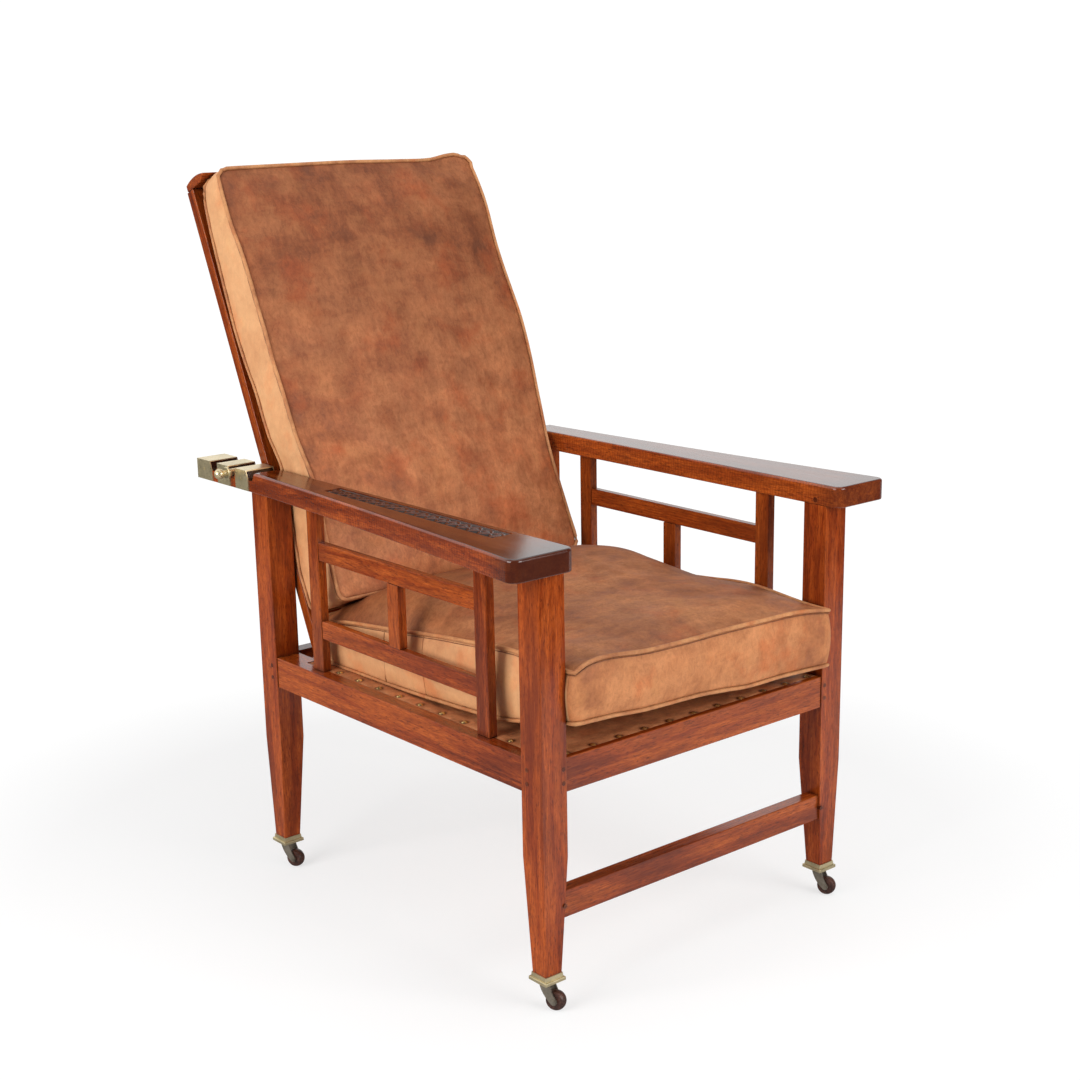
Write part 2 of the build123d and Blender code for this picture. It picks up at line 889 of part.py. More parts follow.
def make_seat_cushion():
    """The boxed seat cushion: crowned on top, drawn in at the sides, lower at the rear."""
    front = -seat_cushion_overhang
    depth = hinge_y - seat_cushion_rear_gap - front
    fall = seat_cushion_front_height - seat_cushion_rear_height
    widest = leg_inner - seat_cushion_side_gap
    slices = []
    rows = zip(
        seat_place_shares, seat_width_shares, seat_height_shares, seat_crown_shares, seat_lift_shares
    )
    for place_share, width_share, height_share, crown_share, lift_share in rows:
        y = front + depth * place_share
        high = deck_top + seat_cushion_rear_height + fall * height_share
        low = deck_top + soft_gap + seat_cushion_belly + seat_cushion_front_lift * lift_share
        half = widest * width_share

        def place(across, up, y=y):
            return Vector(across, y, up)

        slices.append(
            cushion_slice(
                place,
                half,
                half,
                low,
                high,
                seat_cushion_belly,
                seat_cushion_crown * crown_share,
                seat_cushion_side_draw,
            )
        )
    return Solid.make_loft(slices, ruled=True)


# Up the back cushion from foot to head: place, width, crown, swell of the front welt, lean off the
# stiles, and how far the ends draw in
back_place_shares = (0.0, 0.012, 0.08, 0.22, 0.38, 0.55, 0.74, 0.9, 0.985, 1.0)
back_width_shares = (0.965, 0.995, 1.0, 0.994, 0.99, 0.99, 0.994, 1.0, 0.995, 0.965)
back_crown_shares = (0.1, 0.3, 0.7, 1.0, 1.0, 1.0, 0.95, 0.7, 0.3, 0.1)
back_swell_shares = (0.0, 0.05, 0.45, 0.95, 1.0, 0.85, 0.5, 0.15, 0.0, 0.0)
back_lean_shares = (0.0, 0.0, 0.0, 0.0, 0.12, 0.4, 0.72, 0.92, 1.0, 1.0)
back_inset_shares = (1.0, 0.2, 0.0, 0.0, 0.0, 0.0, 0.0, 0.0, 0.2, 1.0)
back_ease_shares = (0.0, 0.0, 0.0, 0.0, 0.0, 0.0, 0.0, 0.0, 0.2, 1.0)


def make_back_cushion():
    """The boxed back cushion, thickest low down and held off the stiles by the crest above."""
    length = back_cushion_head - back_cushion_foot
    foot_off = back_front_off + soft_gap + back_cushion_rear_belly
    head_off = crest_front_off + soft_gap + back_cushion_rear_belly
    slices = []
    rows = zip(
        back_place_shares,
        back_width_shares,
        back_crown_shares,
        back_swell_shares,
        back_lean_shares,
        back_inset_shares,
        back_ease_shares,
    )
    for place_share, width_share, crown_share, swell_share, lean_share, inset_share, ease_share in rows:
        up = back_cushion_foot + length * place_share
        inset = back_cushion_end_draw * inset_share
        low = foot_off + (head_off - foot_off) * lean_share + inset + back_cushion_head_ease * ease_share
        straight = back_cushion_foot_out + (back_cushion_head_out - back_cushion_foot_out) * place_share
        swell = (back_cushion_belly_out - (back_cushion_foot_out + back_cushion_head_out) / 2) * swell_share
        high = straight + swell - inset

        def place(across, out, up=up):
            return Vector(across, -out, up)

        half = (back_half_width - back_cushion_side_inset) * width_share
        slices.append(
            cushion_slice(
                place,
                half,
                half - back_cushion_front_inset,
                low,
                high,
                back_cushion_rear_belly,
                back_cushion_crown * crown_share,
                back_cushion_side_draw,
            )
        )
    return Solid.make_loft(slices, ruled=True)


# Casters, built on their own swivel axis and trailing along -y
fork_top = collar_bottom - fork_disc_gap
fork_disc_bottom = fork_top - fork_disc_thickness
fork_bridge_bottom = fork_disc_bottom - fork_bridge_thickness
cheek_inner = wheel_width / 2 + wheel_hub_proud + cheek_gap
cheek_outer = cheek_inner + cheek_thickness


def make_collar():
    """The square moulded brass cup on a leg's foot, bored for the fork's stem."""
    low = collar_bottom
    middle = collar_bottom + collar_band
    high = collar_bottom + collar_height
    lower = extrude(
        Pos(0, 0, low) * RectangleRounded(collar_lower_section, collar_lower_section, arris), collar_band
    )
    lower = fillet(lower.faces().sort_by(Axis.Z)[-1].edges(), radius=arris)
    upper = loft(
        [
            Pos(0, 0, middle) * RectangleRounded(collar_upper_section, collar_upper_section, arris),
            Pos(0, 0, high) * RectangleRounded(collar_top_section, collar_top_section, arris),
        ],
        ruled=True,
    )
    base_top = low + collar_base
    stem_hole = cylinder_between((0, 0, low - overrun), (0, 0, high), stem_radius + running_clearance)
    stem_room = cylinder_between((0, 0, base_top), (0, 0, high + overrun), stem_radius + stem_head_room)
    return lower + upper - stem_hole - stem_room


collar_top_section = collar_upper_section - arris


def make_cheek(side):
    """One horn-shaped cheek of the fork."""
    x0 = side * cheek_inner
    x1 = side * cheek_outer
    r = cheek_boss_radius
    top = fork_bridge_bottom
    slope = math.atan2(top - wheel_radius, caster_trail)
    across = (r * math.sin(slope), r * math.cos(slope))
    rear_low = Vector(x0, -caster_trail + across[0], wheel_radius - across[1])
    front_low = Vector(x0, -caster_trail - across[0], wheel_radius + across[1])
    rear_top = Vector(x0, cheek_top_half, top)
    front_top = Vector(x0, -cheek_top_half, top)
    rear_mid = (rear_low + rear_top) / 2 + Vector(0, r / 3, -r / 3)
    front_mid = (front_low + front_top) / 2 + Vector(0, r / 6, -r / 6)
    outline = Wire(
        [
            Edge.make_three_point_arc(rear_top, rear_mid, rear_low),
            Edge.make_line(rear_low, front_low),
            Edge.make_three_point_arc(front_low, front_mid, front_top),
            Edge.make_line(front_top, rear_top),
        ]
    )
    horn = Solid.extrude(Face(outline), Vector(x1 - x0, 0, 0))
    boss = cylinder_between((x0, -caster_trail, wheel_radius), (x1, -caster_trail, wheel_radius), r)
    return horn + boss


def make_fork():
    """Stem, swivel disc, bridge and two cheeks, drilled for the axle."""
    stem = Pos(0, 0, fork_top) * Cylinder(
        stem_radius, stem_length, align=(Align.CENTER, Align.CENTER, Align.MIN)
    )
    disc = Pos(0, 0, fork_disc_bottom) * Cylinder(
        fork_disc_radius, fork_disc_thickness, align=(Align.CENTER, Align.CENTER, Align.MIN)
    )
    bridge = block(
        -cheek_outer, cheek_outer, -cheek_top_half, cheek_top_half, fork_bridge_bottom, fork_disc_bottom
    )
    fork = stem + disc + bridge + make_cheek(-1) + make_cheek(1)
    hole = cylinder_between(
        (-cheek_outer - overrun, -caster_trail, wheel_radius),
        (cheek_outer + overrun, -caster_trail, wheel_radius),
        axle_radius,
    )
    return one_solid(fork - hole)


def make_axle():
    """The riveted axle."""
    y = -caster_trail
    z = wheel_radius
    axle = cylinder_between((-cheek_outer, y, z), (cheek_outer, y, z), axle_radius)
    for side in (-1, 1):
        start = (side * cheek_outer, y, z)
        end = (side * (cheek_outer + axle_head_length), y, z)
        axle = axle + cylinder_between(start, end, axle_head_radius)
    return axle


def make_wheel():
    """A turned wheel with a rounded tread and small hubs, bored for the axle."""
    bore = axle_radius + running_clearance
    half = wheel_width / 2
    side_radius = wheel_radius - wheel_shoulder
    hub = half + wheel_hub_proud
    profile = Wire(
        [
            Edge.make_line((-hub, bore), (hub, bore)),
            Edge.make_line((hub, bore), (hub, wheel_hub_radius)),
            Edge.make_line((hub, wheel_hub_radius), (half, wheel_hub_radius)),
            Edge.make_line((half, wheel_hub_radius), (half, side_radius)),
            Edge.make_three_point_arc((half, side_radius), (0, wheel_radius), (-half, side_radius)),
            Edge.make_line((-half, side_radius), (-half, wheel_hub_radius)),
            Edge.make_line((-half, wheel_hub_radius), (-hub, wheel_hub_radius)),
            Edge.make_line((-hub, wheel_hub_radius), (-hub, bore)),
        ]
    )
    wheel = revolve(Face(profile), axis=Axis.X)
    return Pos(0, -caster_trail, wheel_radius) * wheel


# Assembly
side_names = {-1: "right", 1: "left"}
nodes = {}
legs = {}
for end in leg_places:
    for side, side_name in side_names.items():
        legs[(end, side)] = on_side(make_leg(end), side)

dowels = pegs()
plugs = arm_plugs()
nails = []
for x, y in nail_places():
    nails.append(Pos(x, y, deck_top) * nail())

front_legs = [legs[("front", side)] for side in side_names]
rear_legs = [legs[("rear", side)] for side in side_names]
rails = {
    "front_rail": make_front_rail(),
    "rear_rail": make_rear_rail(),
    "hinge_rail": make_hinge_rail(),
    "front_stretcher": make_stretcher(front_legs),
}
for side, side_name in side_names.items():
    side_rail = on_side(make_side_rail(), side)
    rails["side_rail_" + side_name] = carve(side_rail, [rails["hinge_rail"]])

fixed_screws = [on_hinge_rail(screw) for screw in hinge_screws(moving=False)]
saddle_fixings = {side: saddle_pins(side) for side in side_names}

for (end, side), leg in legs.items():
    arm_side_plugs = [plug for plug in plugs if plug.center().X * side > 0]
    cutters = list(rails.values()) + dowels + arm_side_plugs
    nodes["leg_" + end + "_" + side_names[side]] = carve(leg, cutters)

for name, rail in rails.items():
    nodes[name] = carve(rail, dowels + nails + fixed_screws)

nodes["dowel_pegs"] = group(dowels + plugs)
nodes["seat_deck"] = carve(make_deck(), nails)
nodes["deck_nails"] = group(nails)

for side, side_name in side_names.items():
    arm_legs = [legs[("front", side)], legs[("rear", side)]]
    nodes["arm_" + side_name] = carve(make_arm(side, arm_legs), plugs + saddle_fixings[side])
    parts_of_panel = {
        "panel_upright_front_": make_upright(front_upright_start, rail_top, arm_underside),
        "panel_upright_rear_": make_upright(rear_upright_start, rail_top, arm_underside),
        "panel_upright_middle_": make_upright(
            middle_upright_start, lower_bar_bottom + bar_height, upper_bar_bottom
        ),
        "panel_bar_upper_": make_bar(upper_bar_bottom),
        "panel_bar_lower_": make_bar(lower_bar_bottom),
    }
    for name, piece in parts_of_panel.items():
        nodes[name + side_name] = on_side(piece, side)
    saddles = [on_side(make_saddle(index), side) for index in notch_indexes]
    nodes["notch_saddles_" + side_name] = group([carve(saddle, saddle_fixings[side]) for saddle in saddles])
nodes["saddle_pins"] = group(saddle_fixings[-1] + saddle_fixings[1])

fixed_leaves = [on_hinge_rail(hinge_leaf(x, moving=False)) for x in hinge_offsets]
moving_leaves = [hinge_leaf(x, moving=True) for x in hinge_offsets]
moving_screws = hinge_screws(moving=True)
nodes["hinge_leaves_fixed"] = group([carve(leaf, fixed_screws) for leaf in fixed_leaves])
nodes["hinge_screws_fixed"] = group(fixed_screws)
nodes["hinge_pins"] = group([on_hinge_rail(hinge_pin(x)) for x in hinge_offsets])

cross_places = {"back_bottom_rail": (back_foot, back_foot + bottom_rail_width, stile_thickness)}
for number, z0 in enumerate(slat_places(), start=1):
    cross_places["back_slat_" + str(number)] = (z0, z0 + slat_width, slat_thickness)
cross_tenons = [cross_tenon(*place) for place in cross_places.values()]
for side, side_name in side_names.items():
    nodes["back_stile_" + side_name] = lay_back(make_stile(side, cross_tenons))
for name, place in cross_places.items():
    nodes[name] = lay_back(carve(make_cross_member(*place), moving_screws))
nodes["back_crest"] = lay_back(make_crest())
nodes["hinge_leaves_moving"] = group([lay_back(carve(leaf, moving_screws)) for leaf in moving_leaves])
nodes["hinge_screws_moving"] = group([lay_back(screw) for screw in moving_screws])

nodes["support_bar"] = make_bar_rod()
for side, side_name in side_names.items():
    nodes["bar_knob_" + side_name] = make_knob(side)

nodes["seat_cushion"] = make_seat_cushion()
nodes["back_cushion"] = lay_back(make_back_cushion())

collars = []
for end in leg_places:
    for side, side_name in side_names.items():
        x, y = foot_centre(end)
        stand = Pos(side * x, y, 0)
        turn = Rot(0, 0, caster_angle)
        collars.append(carve(stand * make_collar(), [legs[(end, side)]]))
        tag = end + "_" + side_name
        nodes["caster_fork_" + tag] = stand * turn * make_fork()
        nodes["caster_axle_" + tag] = stand * turn * make_axle()
        nodes["caster_wheel_" + tag] = stand * turn * make_wheel()
nodes["caster_collars"] = group(collars)

middle_y = (nodes["back_crest"].bounding_box().max.Y - arm_front_overhang) / 2
os.makedirs("parts", exist_ok=True)
for name, shape in nodes.items():
    export_step(Pos(0, -middle_y, 0) * shape, "parts/" + name + ".step")
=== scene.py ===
import bpy
import json
import math
from mathutils import Matrix, Vector, noise


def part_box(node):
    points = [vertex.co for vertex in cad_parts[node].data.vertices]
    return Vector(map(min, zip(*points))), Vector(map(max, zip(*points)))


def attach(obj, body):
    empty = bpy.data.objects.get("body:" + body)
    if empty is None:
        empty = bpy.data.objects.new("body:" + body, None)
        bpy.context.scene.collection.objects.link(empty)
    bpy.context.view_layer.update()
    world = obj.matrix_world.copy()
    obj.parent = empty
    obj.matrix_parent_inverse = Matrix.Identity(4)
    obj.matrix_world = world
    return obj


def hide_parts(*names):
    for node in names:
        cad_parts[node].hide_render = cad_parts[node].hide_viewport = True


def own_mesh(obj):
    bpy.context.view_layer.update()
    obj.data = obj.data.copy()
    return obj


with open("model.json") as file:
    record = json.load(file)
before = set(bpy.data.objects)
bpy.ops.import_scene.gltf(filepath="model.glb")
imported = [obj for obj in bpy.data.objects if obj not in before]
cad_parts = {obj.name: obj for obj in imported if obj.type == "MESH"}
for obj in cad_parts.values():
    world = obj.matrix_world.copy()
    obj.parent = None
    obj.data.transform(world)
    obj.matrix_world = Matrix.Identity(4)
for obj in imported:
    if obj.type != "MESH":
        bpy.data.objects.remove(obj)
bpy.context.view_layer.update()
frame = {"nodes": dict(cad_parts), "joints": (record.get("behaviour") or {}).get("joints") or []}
nodes = frame["nodes"]
joints = {joint["name"]: joint for joint in frame["joints"]}

MM = 0.001

# The chair's own places: the front legs' front faces, the arms' top, and the back's hinge and lean
leg_low, leg_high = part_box("leg_front_left")
front_y = leg_low.y
arm_low, arm_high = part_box("arm_right")
arm_top = arm_high.z
hinge = Vector(joints["back_recline"]["pos_m"])
up_back = Vector(joints["bar_lift"]["axis"])
out_back = Vector((0, -up_back.z, up_back.y))
lean = math.atan2(up_back.y, up_back.z)

# Camera: fitted to the photograph, in its pixels and in the frame's metres
camera_focal_px = 1818.23
image_px = 1080
camera_centre_px = (548.52, 594.1)
camera_azimuth = -40.15
camera_elevation = 15.41
camera_roll = -0.95
camera_distance = 2.67511
camera_target = Vector((0, front_y + 319.6 * MM, 456.5 * MM))
camera_clip = (0.05, 50)
sensor_width = 36


def make_camera():
    az, el, roll = (math.radians(angle) for angle in (camera_azimuth, camera_elevation, camera_roll))
    back = Vector((math.sin(az) * math.cos(el), -math.cos(az) * math.cos(el), math.sin(el)))
    right = Vector((0, 0, 1)).cross(back).normalized()
    up = back.cross(right)
    to_right = right * math.cos(roll) + up * math.sin(roll)
    upwards = up * math.cos(roll) - right * math.sin(roll)
    data = bpy.data.cameras.new("camera")
    data.sensor_width = sensor_width
    data.lens = camera_focal_px * sensor_width / image_px
    data.shift_x = (image_px / 2 - camera_centre_px[0]) / image_px
    data.shift_y = (camera_centre_px[1] - image_px / 2) / image_px
    data.clip_start, data.clip_end = camera_clip
    camera = bpy.data.objects.new("camera", data)
    rotation = Matrix((to_right, upwards, back)).transposed().to_4x4()
    camera.matrix_world = Matrix.Translation(camera_target + back * camera_distance) @ rotation
    bpy.context.scene.collection.objects.link(camera)
    bpy.context.scene.camera = camera


# Small helpers for node trees. A mix node has sockets of one name for each type, so they go by number.
bevel_samples = 3
crevice_samples = 2
mix_factor, mix_first, mix_second, mix_result = 0, 6, 7, 2


def new_material(name):
    material = bpy.data.materials.new(name)
    material.use_nodes = True
    return material, material.node_tree, material.node_tree.nodes["Principled BSDF"]


def feed(node, inputs):
    """Gives a node its inputs: another node's output is linked, a number or a colour is set."""
    for key, value in inputs.items():
        socket = node.inputs[key]
        if isinstance(value, bpy.types.NodeSocket):
            node.id_data.links.new(value, socket)
        elif socket.type == "RGBA":
            socket.default_value = (*value, 1)
        else:
            socket.default_value = value


def add(tree, kind, inputs=None, **settings):
    """Adds a node and returns its outputs."""
    node = tree.nodes.new("ShaderNode" + kind)
    for key, value in settings.items():
        setattr(node, key, value)
    feed(node, inputs or {})
    return node.outputs


def coordinates(tree, scale, turn=(0, 0, 0)):
    """Object coordinates, turned and then scaled."""
    turned = add(tree, "Mapping", {"Vector": add(tree, "TexCoord")["Object"], "Rotation": turn})
    return add(tree, "Mapping", {"Vector": turned["Vector"], "Scale": scale})["Vector"]


def noise_at(tree, vector, scale, detail=3, roughness=0.5, distortion=0):
    inputs = dict(Vector=vector, Scale=scale, Detail=detail, Roughness=roughness, Distortion=distortion)
    return add(tree, "TexNoise", inputs)["Fac"]


def ramp(tree, value, stops):
    """A colour ramp from (position, colour) stops."""
    node = tree.nodes.new("ShaderNodeValToRGB")
    elements = node.color_ramp.elements
    while len(elements) < len(stops):
        elements.new(1)
    for element, (position, colour) in zip(elements, stops):
        element.position = position
        element.color = (*colour, 1)
    feed(node, {"Fac": value})
    return node.outputs["Color"]


def grey_ramp(tree, value, low, high):
    return ramp(tree, value, [(low, (0, 0, 0)), (high, (1, 1, 1))])


def mix(tree, factor, first, second, blend="MIX"):
    inputs = {mix_factor: factor, mix_first: first, mix_second: second}
    return add(tree, "Mix", inputs, data_type="RGBA", blend_type=blend)[mix_result]


def tinted(tree, colour, tint, share=1.0):
    return mix(tree, share, colour, tint, "MULTIPLY")


def maths(tree, operation, first, second, clamp=False):
    return add(tree, "Math", {0: first, 1: second}, operation=operation, use_clamp=clamp)[0]


def scaled(tree, value, amount):
    return maths(tree, "MULTIPLY", value, amount)


def added(tree, first, second, shares):
    """The sum of two values, each scaled by its own share."""
    return maths(tree, "ADD", scaled(tree, first, shares[0]), scaled(tree, second, shares[1]))


def spread(tree, value, low, high, to_low=0, to_high=1):
    """Maps a value from one range onto another."""
    inputs = {"Value": value, "From Min": low, "From Max": high, "To Min": to_low, "To Max": to_high}
    return add(tree, "MapRange", inputs)["Result"]


def separated(tree, vector):
    return add(tree, "SeparateXYZ", {"Vector": vector})


def bump(tree, height, strength, distance):
    return add(tree, "Bump", {"Height": height, "Strength": strength, "Distance": distance})["Normal"]


def edge_mask(tree, radius, low, high):
    """White where an edge is near, from how far a bevelled normal leans from the true one."""
    bevelled = add(tree, "Bevel", {"Radius": radius}, samples=bevel_samples)["Normal"]
    normals = {0: bevelled, 1: add(tree, "NewGeometry")["Normal"]}
    return spread(tree, add(tree, "VectorMath", normals, operation="DOT_PRODUCT")["Value"], high, low)


def occlusion_shade(tree, distance, low, high):
    """Painted shade from ambient occlusion: black in corners and contacts, white on open surfaces."""
    open_share = add(tree, "AmbientOcclusion", {"Distance": distance}, samples=crevice_samples)["AO"]
    return grey_ramp(tree, open_share, low, high)


# Where most of a noise's values lie, and the scale that changes nothing
noise_range = (0.3, 0.7)
even = (1, 1, 1)

# Wood: its colours, shades that multiply them, and how strongly its marks show
wood_dark = (0.04, 0.009, 0.0035)
wood_deep = (0.14, 0.02, 0.0035)
wood_mid = (0.29, 0.045, 0.006)
wood_light = (0.47, 0.095, 0.012)
wood_worn = (0.46, 0.15, 0.045)
wood_handled = (0.05, 0.011, 0.006)
# Painted shade: near black for the walls of the notches that face forwards
notch_wall_shade = (0.012, 0.005, 0.004)
# Painted shade for the low parts of the carving
carving_hollow_shade = (0.004, 0.0025, 0.002)
# Painted shade for corners, joints and contacts
wood_crevice_shade = (0.018, 0.007, 0.005)
wood_bands = [(0.36, wood_deep), (0.46, wood_mid), (0.56, wood_light), (0.66, wood_mid), (0.74, wood_deep)]
fibre_shades = ((0.61, 0.54, 0.5), (1.24, 1.27, 1.28))
ripple_shades = ((0.72, 0.68, 0.62), (1.18, 1.2, 1.22))
# Painted shade for the arms' upward faces
top_shade_tint = (0.42, 0.47, 0.56)
grain_shares = (0.5, 0.5)
relief_shares = (0.6, -0.8)
fibre_share = 0.85
pore_share = 0.66
cloud_share = 0.65
wear_share = 0.35
handled_across = (-0.1, 0.1)
handled_sides = (0.9, 0.55)
handled_wave = 0.03
notch_fade = 4 * MM
notch_shade_share = 0.97
coat_rough = 0.1

# Noise in the wood: scale across the grain, squeeze along it, detail, roughness and distortion
wood_noise = {
    "broad": (12, 0.12, 3, 0.6, 0.5),
    "figure": (70, 0.06, 5, 0.65, 0.8),
    "fibre": (480, 0.09, 4, 0.75, 0),
    "fleck": (820, 0.13, 2, 0.6, 0),
    "cloud": (26, 0.16, 4, 0.65, 0),
}
wood_ripple = {"Scale": 55, "Distortion": 7, "Detail": 3, "Detail Scale": 1.6}


def wood(
    tree, along, tilt=0, darkness=0, figured=0, ends=None, notches=None, hollows=None,
    tone=(1, 1, 1), rough=(0.12, 0.26), polish=0.28, coat=0.12,
):
    """Polished red-brown wood with its grain along one axis."""
    turn = (tilt, 0, 0)
    layers = {}
    for layer, (scale, squeeze, *settings) in wood_noise.items():
        stretch = tuple(scale * squeeze if axis == along else scale for axis in "XYZ")
        layers[layer] = noise_at(tree, coordinates(tree, stretch, turn), 1, *settings)
    figure = layers["figure"]
    fibre = layers["fibre"]

    grain = added(tree, layers["broad"], figure, grain_shares)
    streak = mix(tree, grey_ramp(tree, fibre, low=0.38, high=0.62), *fibre_shades)
    colour = tinted(tree, ramp(tree, grain, wood_bands), streak, fibre_share)
    if figured:
        inputs = {"Vector": coordinates(tree, even, turn), **wood_ripple}
        wave = add(tree, "TexWave", inputs, wave_type="BANDS", bands_direction=along)["Fac"]
        colour = tinted(tree, colour, mix(tree, wave, *ripple_shades), figured)
    pores = grey_ramp(tree, layers["fleck"], low=0.575, high=0.66)
    colour = mix(tree, scaled(tree, pores, pore_share), colour, wood_dark)
    patches = grey_ramp(tree, layers["cloud"], low=0.48, high=0.66)
    colour = mix(tree, scaled(tree, patches, cloud_share), colour, wood_deep)
    if darkness:
        colour = mix(tree, darkness, colour, wood_dark)
    colour = tinted(tree, colour, tone)
    edge = edge_mask(tree, radius=2.0 * MM, low=0.8, high=0.985)
    broken = scaled(tree, edge, grey_ramp(tree, figure, low=0.4, high=0.62))
    colour = mix(tree, scaled(tree, broken, wear_share), colour, wood_worn)
    place = separated(tree, add(tree, "TexCoord")["Object"])
    if ends:
        # The near arm's handled end is nearly black, the far one's is less dark
        side = spread(tree, place["X"], *handled_across, *handled_sides)
        wavy = maths(tree, "ADD", place["Y"], scaled(tree, figure, handled_wave))
        handled = scaled(tree, spread(tree, wavy, *ends, to_low=1, to_high=0), side)
        colour = mix(tree, handled, colour, wood_handled)
    if notches:
        # Painted shade: upward faces are darkened, and the walls of the notches that face forwards are
        # painted black
        cut = spread(tree, place["Y"], notches, notches + notch_fade)
        facing = separated(tree, add(tree, "NewGeometry")["Normal"])
        upward = spread(tree, facing["Z"], low=0.75, high=0.92)
        colour = mix(tree, upward, colour, tinted(tree, colour, top_shade_tint))
        forward_wall_shade = spread(tree, facing["Y"], low=-0.3, high=-0.6, to_high=notch_shade_share)
        colour = mix(tree, scaled(tree, cut, forward_wall_shade), colour, notch_wall_shade)
    # Painted shade: the carving turns near black towards the floor of its hollows
    if hollows:
        colour = mix(tree, spread(tree, place["Z"], *hollows), carving_hollow_shade, colour)
    # Painted shade: ambient occlusion darkens corners, joints and contacts
    crevice_shade = occlusion_shade(tree, distance=7 * MM, low=0.25, high=0.72)
    return {
        "Base Color": mix(tree, crevice_shade, wood_crevice_shade, colour),
        "Roughness": spread(tree, figure, *noise_range, *rough),
        "Coat Weight": coat,
        "Coat Roughness": coat_rough,
        "Specular IOR Level": polish,
        "Normal": bump(tree, added(tree, fibre, pores, relief_shares), strength=0.1, distance=0.4 * MM),
    }


# Leather: shades that multiply its colours, and how strongly its marks show
leather_red = (1.08, 0.7, 0.5)
leather_worn = (1.12, 1.22, 1.1)
# Painted shade tint for crevices, creases and contacts
leather_crevice_shade = (0.26, 0.17, 0.13)
# Painted shade tint for the rings round the deck's nails
leather_ring_shade = (0.22, 0.16, 0.12)
stroke_shades = [(0.4, (0.76, 0.71, 0.68)), (0.5, (1, 1, 1)), (0.6, (1.22, 1.23, 1.23))]
crackle_shades = [(0.38, (0.8, 0.77, 0.755)), (0.5, (1, 1, 1)), (0.62, (1.13, 1.13, 1.13))]
tone_places = (0.37, 0.46, 0.55, 0.65)
speck_shades = ((0.84, 0.82, 0.8), (1.14, 1.14, 1.14))
blotch_shares = (0.55, 0.45)
stroke_shares = (0.5, 0.5)
mark_heights = (2.2, 1.6)
pebble_height = 2
red_share = 0.55
speck_share = 0.8
worn_share = 0.35
pebble_scale = 560
shade_and_patina_drift = 0.07
leather_rough = (0.5, 0.66)
leather_polish = 0.3

# Noise in the leather: its stretch, its scale as a factor of the blotches' and a sum, then detail, roughness
# and distortion
leather_noise = {
    "cloud": (even, 1, 0, 6, 0.62, 0.3),
    "patch": (even, 3.3, 0, 6, 0.68, 0.3),
    "spot": (even, 1.7, 3.1, 4, 0.6, 0),
    "rubbed": (even, 2.3, 5.7, 5, 0.7, 0),
    "brushed": ((1, 1, 0.3), 0, 24, 6, 0.68, 0.4),
    "crossed": ((0.3, 1, 1), 0, 24, 6, 0.68, 0.4),
    "crackle": ((1, 1, 0.6), 0, 150, 5, 0.8, 0.9),
    "pores": (even, 0, 1300, 2, 0.5, 0),
}


def times(colour, tint):
    return tuple(part * share for part, share in zip(colour, tint))


def leather(
    tree, light, middle, dark, blotch_scale, streak_turn=0, reach=7 * MM, depth=(0.15, 0.62), patina=None,
    marked=0.9, ringed=False,
):
    """Mottled hide: broad brown clouds on tan, faint streaks, crackle and pores."""
    layers = {}
    for layer, (stretch, factor, extra, *settings) in leather_noise.items():
        place = coordinates(tree, stretch, (0 if stretch == even else streak_turn, 0, 0))
        layers[layer] = noise_at(tree, place, blotch_scale * factor + extra, *settings)
    cloud = layers["cloud"]
    patch = layers["patch"]
    crackle = layers["crackle"]
    pebble_inputs = {"Vector": coordinates(tree, even), "Scale": pebble_scale}
    pebble = add(tree, "TexVoronoi", pebble_inputs, feature="DISTANCE_TO_EDGE")["Distance"]

    tones = list(zip(tone_places, (dark, middle, light, middle)))
    colour = ramp(tree, added(tree, cloud, patch, blotch_shares), tones)
    red = scaled(tree, grey_ramp(tree, layers["spot"], low=0.54, high=0.68), red_share)
    colour = mix(tree, red, colour, times(middle, leather_red))
    strokes = added(tree, layers["brushed"], layers["crossed"], stroke_shares)
    colour = tinted(tree, colour, ramp(tree, strokes, stroke_shades), marked)
    colour = tinted(tree, colour, ramp(tree, crackle, crackle_shades), marked)
    colour = tinted(tree, colour, mix(tree, layers["pores"], *speck_shades), speck_share)
    worn = scaled(tree, grey_ramp(tree, layers["rubbed"], low=0.56, high=0.72), worn_share)
    colour = mix(tree, worn, colour, times(light, leather_worn))
    # Darker towards the head of the back and the rear of the seat: painted shade, with some patina
    if patina:
        axis, start, end, tint = patina
        place = separated(tree, add(tree, "TexCoord")["Object"])
        drift = spread(tree, cloud, *noise_range, -shade_and_patina_drift, shade_and_patina_drift)
        darkened = spread(tree, maths(tree, "ADD", place[axis], drift), start, end)
        colour = mix(tree, darkened, colour, tinted(tree, colour, tint))
    # Painted shade in a ring round each of the deck's nails
    if ringed:
        ring = add(tree, "Attribute", attribute_name="nail_shade_ring")["Fac"]
        colour = mix(tree, ring, colour, tinted(tree, colour, leather_ring_shade))
    marks = added(tree, strokes, crackle, mark_heights)
    height = maths(tree, "ADD", scaled(tree, pebble, pebble_height), marks)
    # The base colour carries painted shade in crevices, creases and contacts, from ambient occlusion
    return {
        "Base Color": mix(tree, occlusion_shade(tree, reach, *depth), tinted(tree, colour, leather_crevice_shade), colour),
        "Roughness": spread(tree, patch, *noise_range, *leather_rough),
        "Specular IOR Level": leather_polish,
        "Normal": bump(tree, height, strength=0.34, distance=0.5 * MM),
    }


# Metal
rubbed_share = 0.6


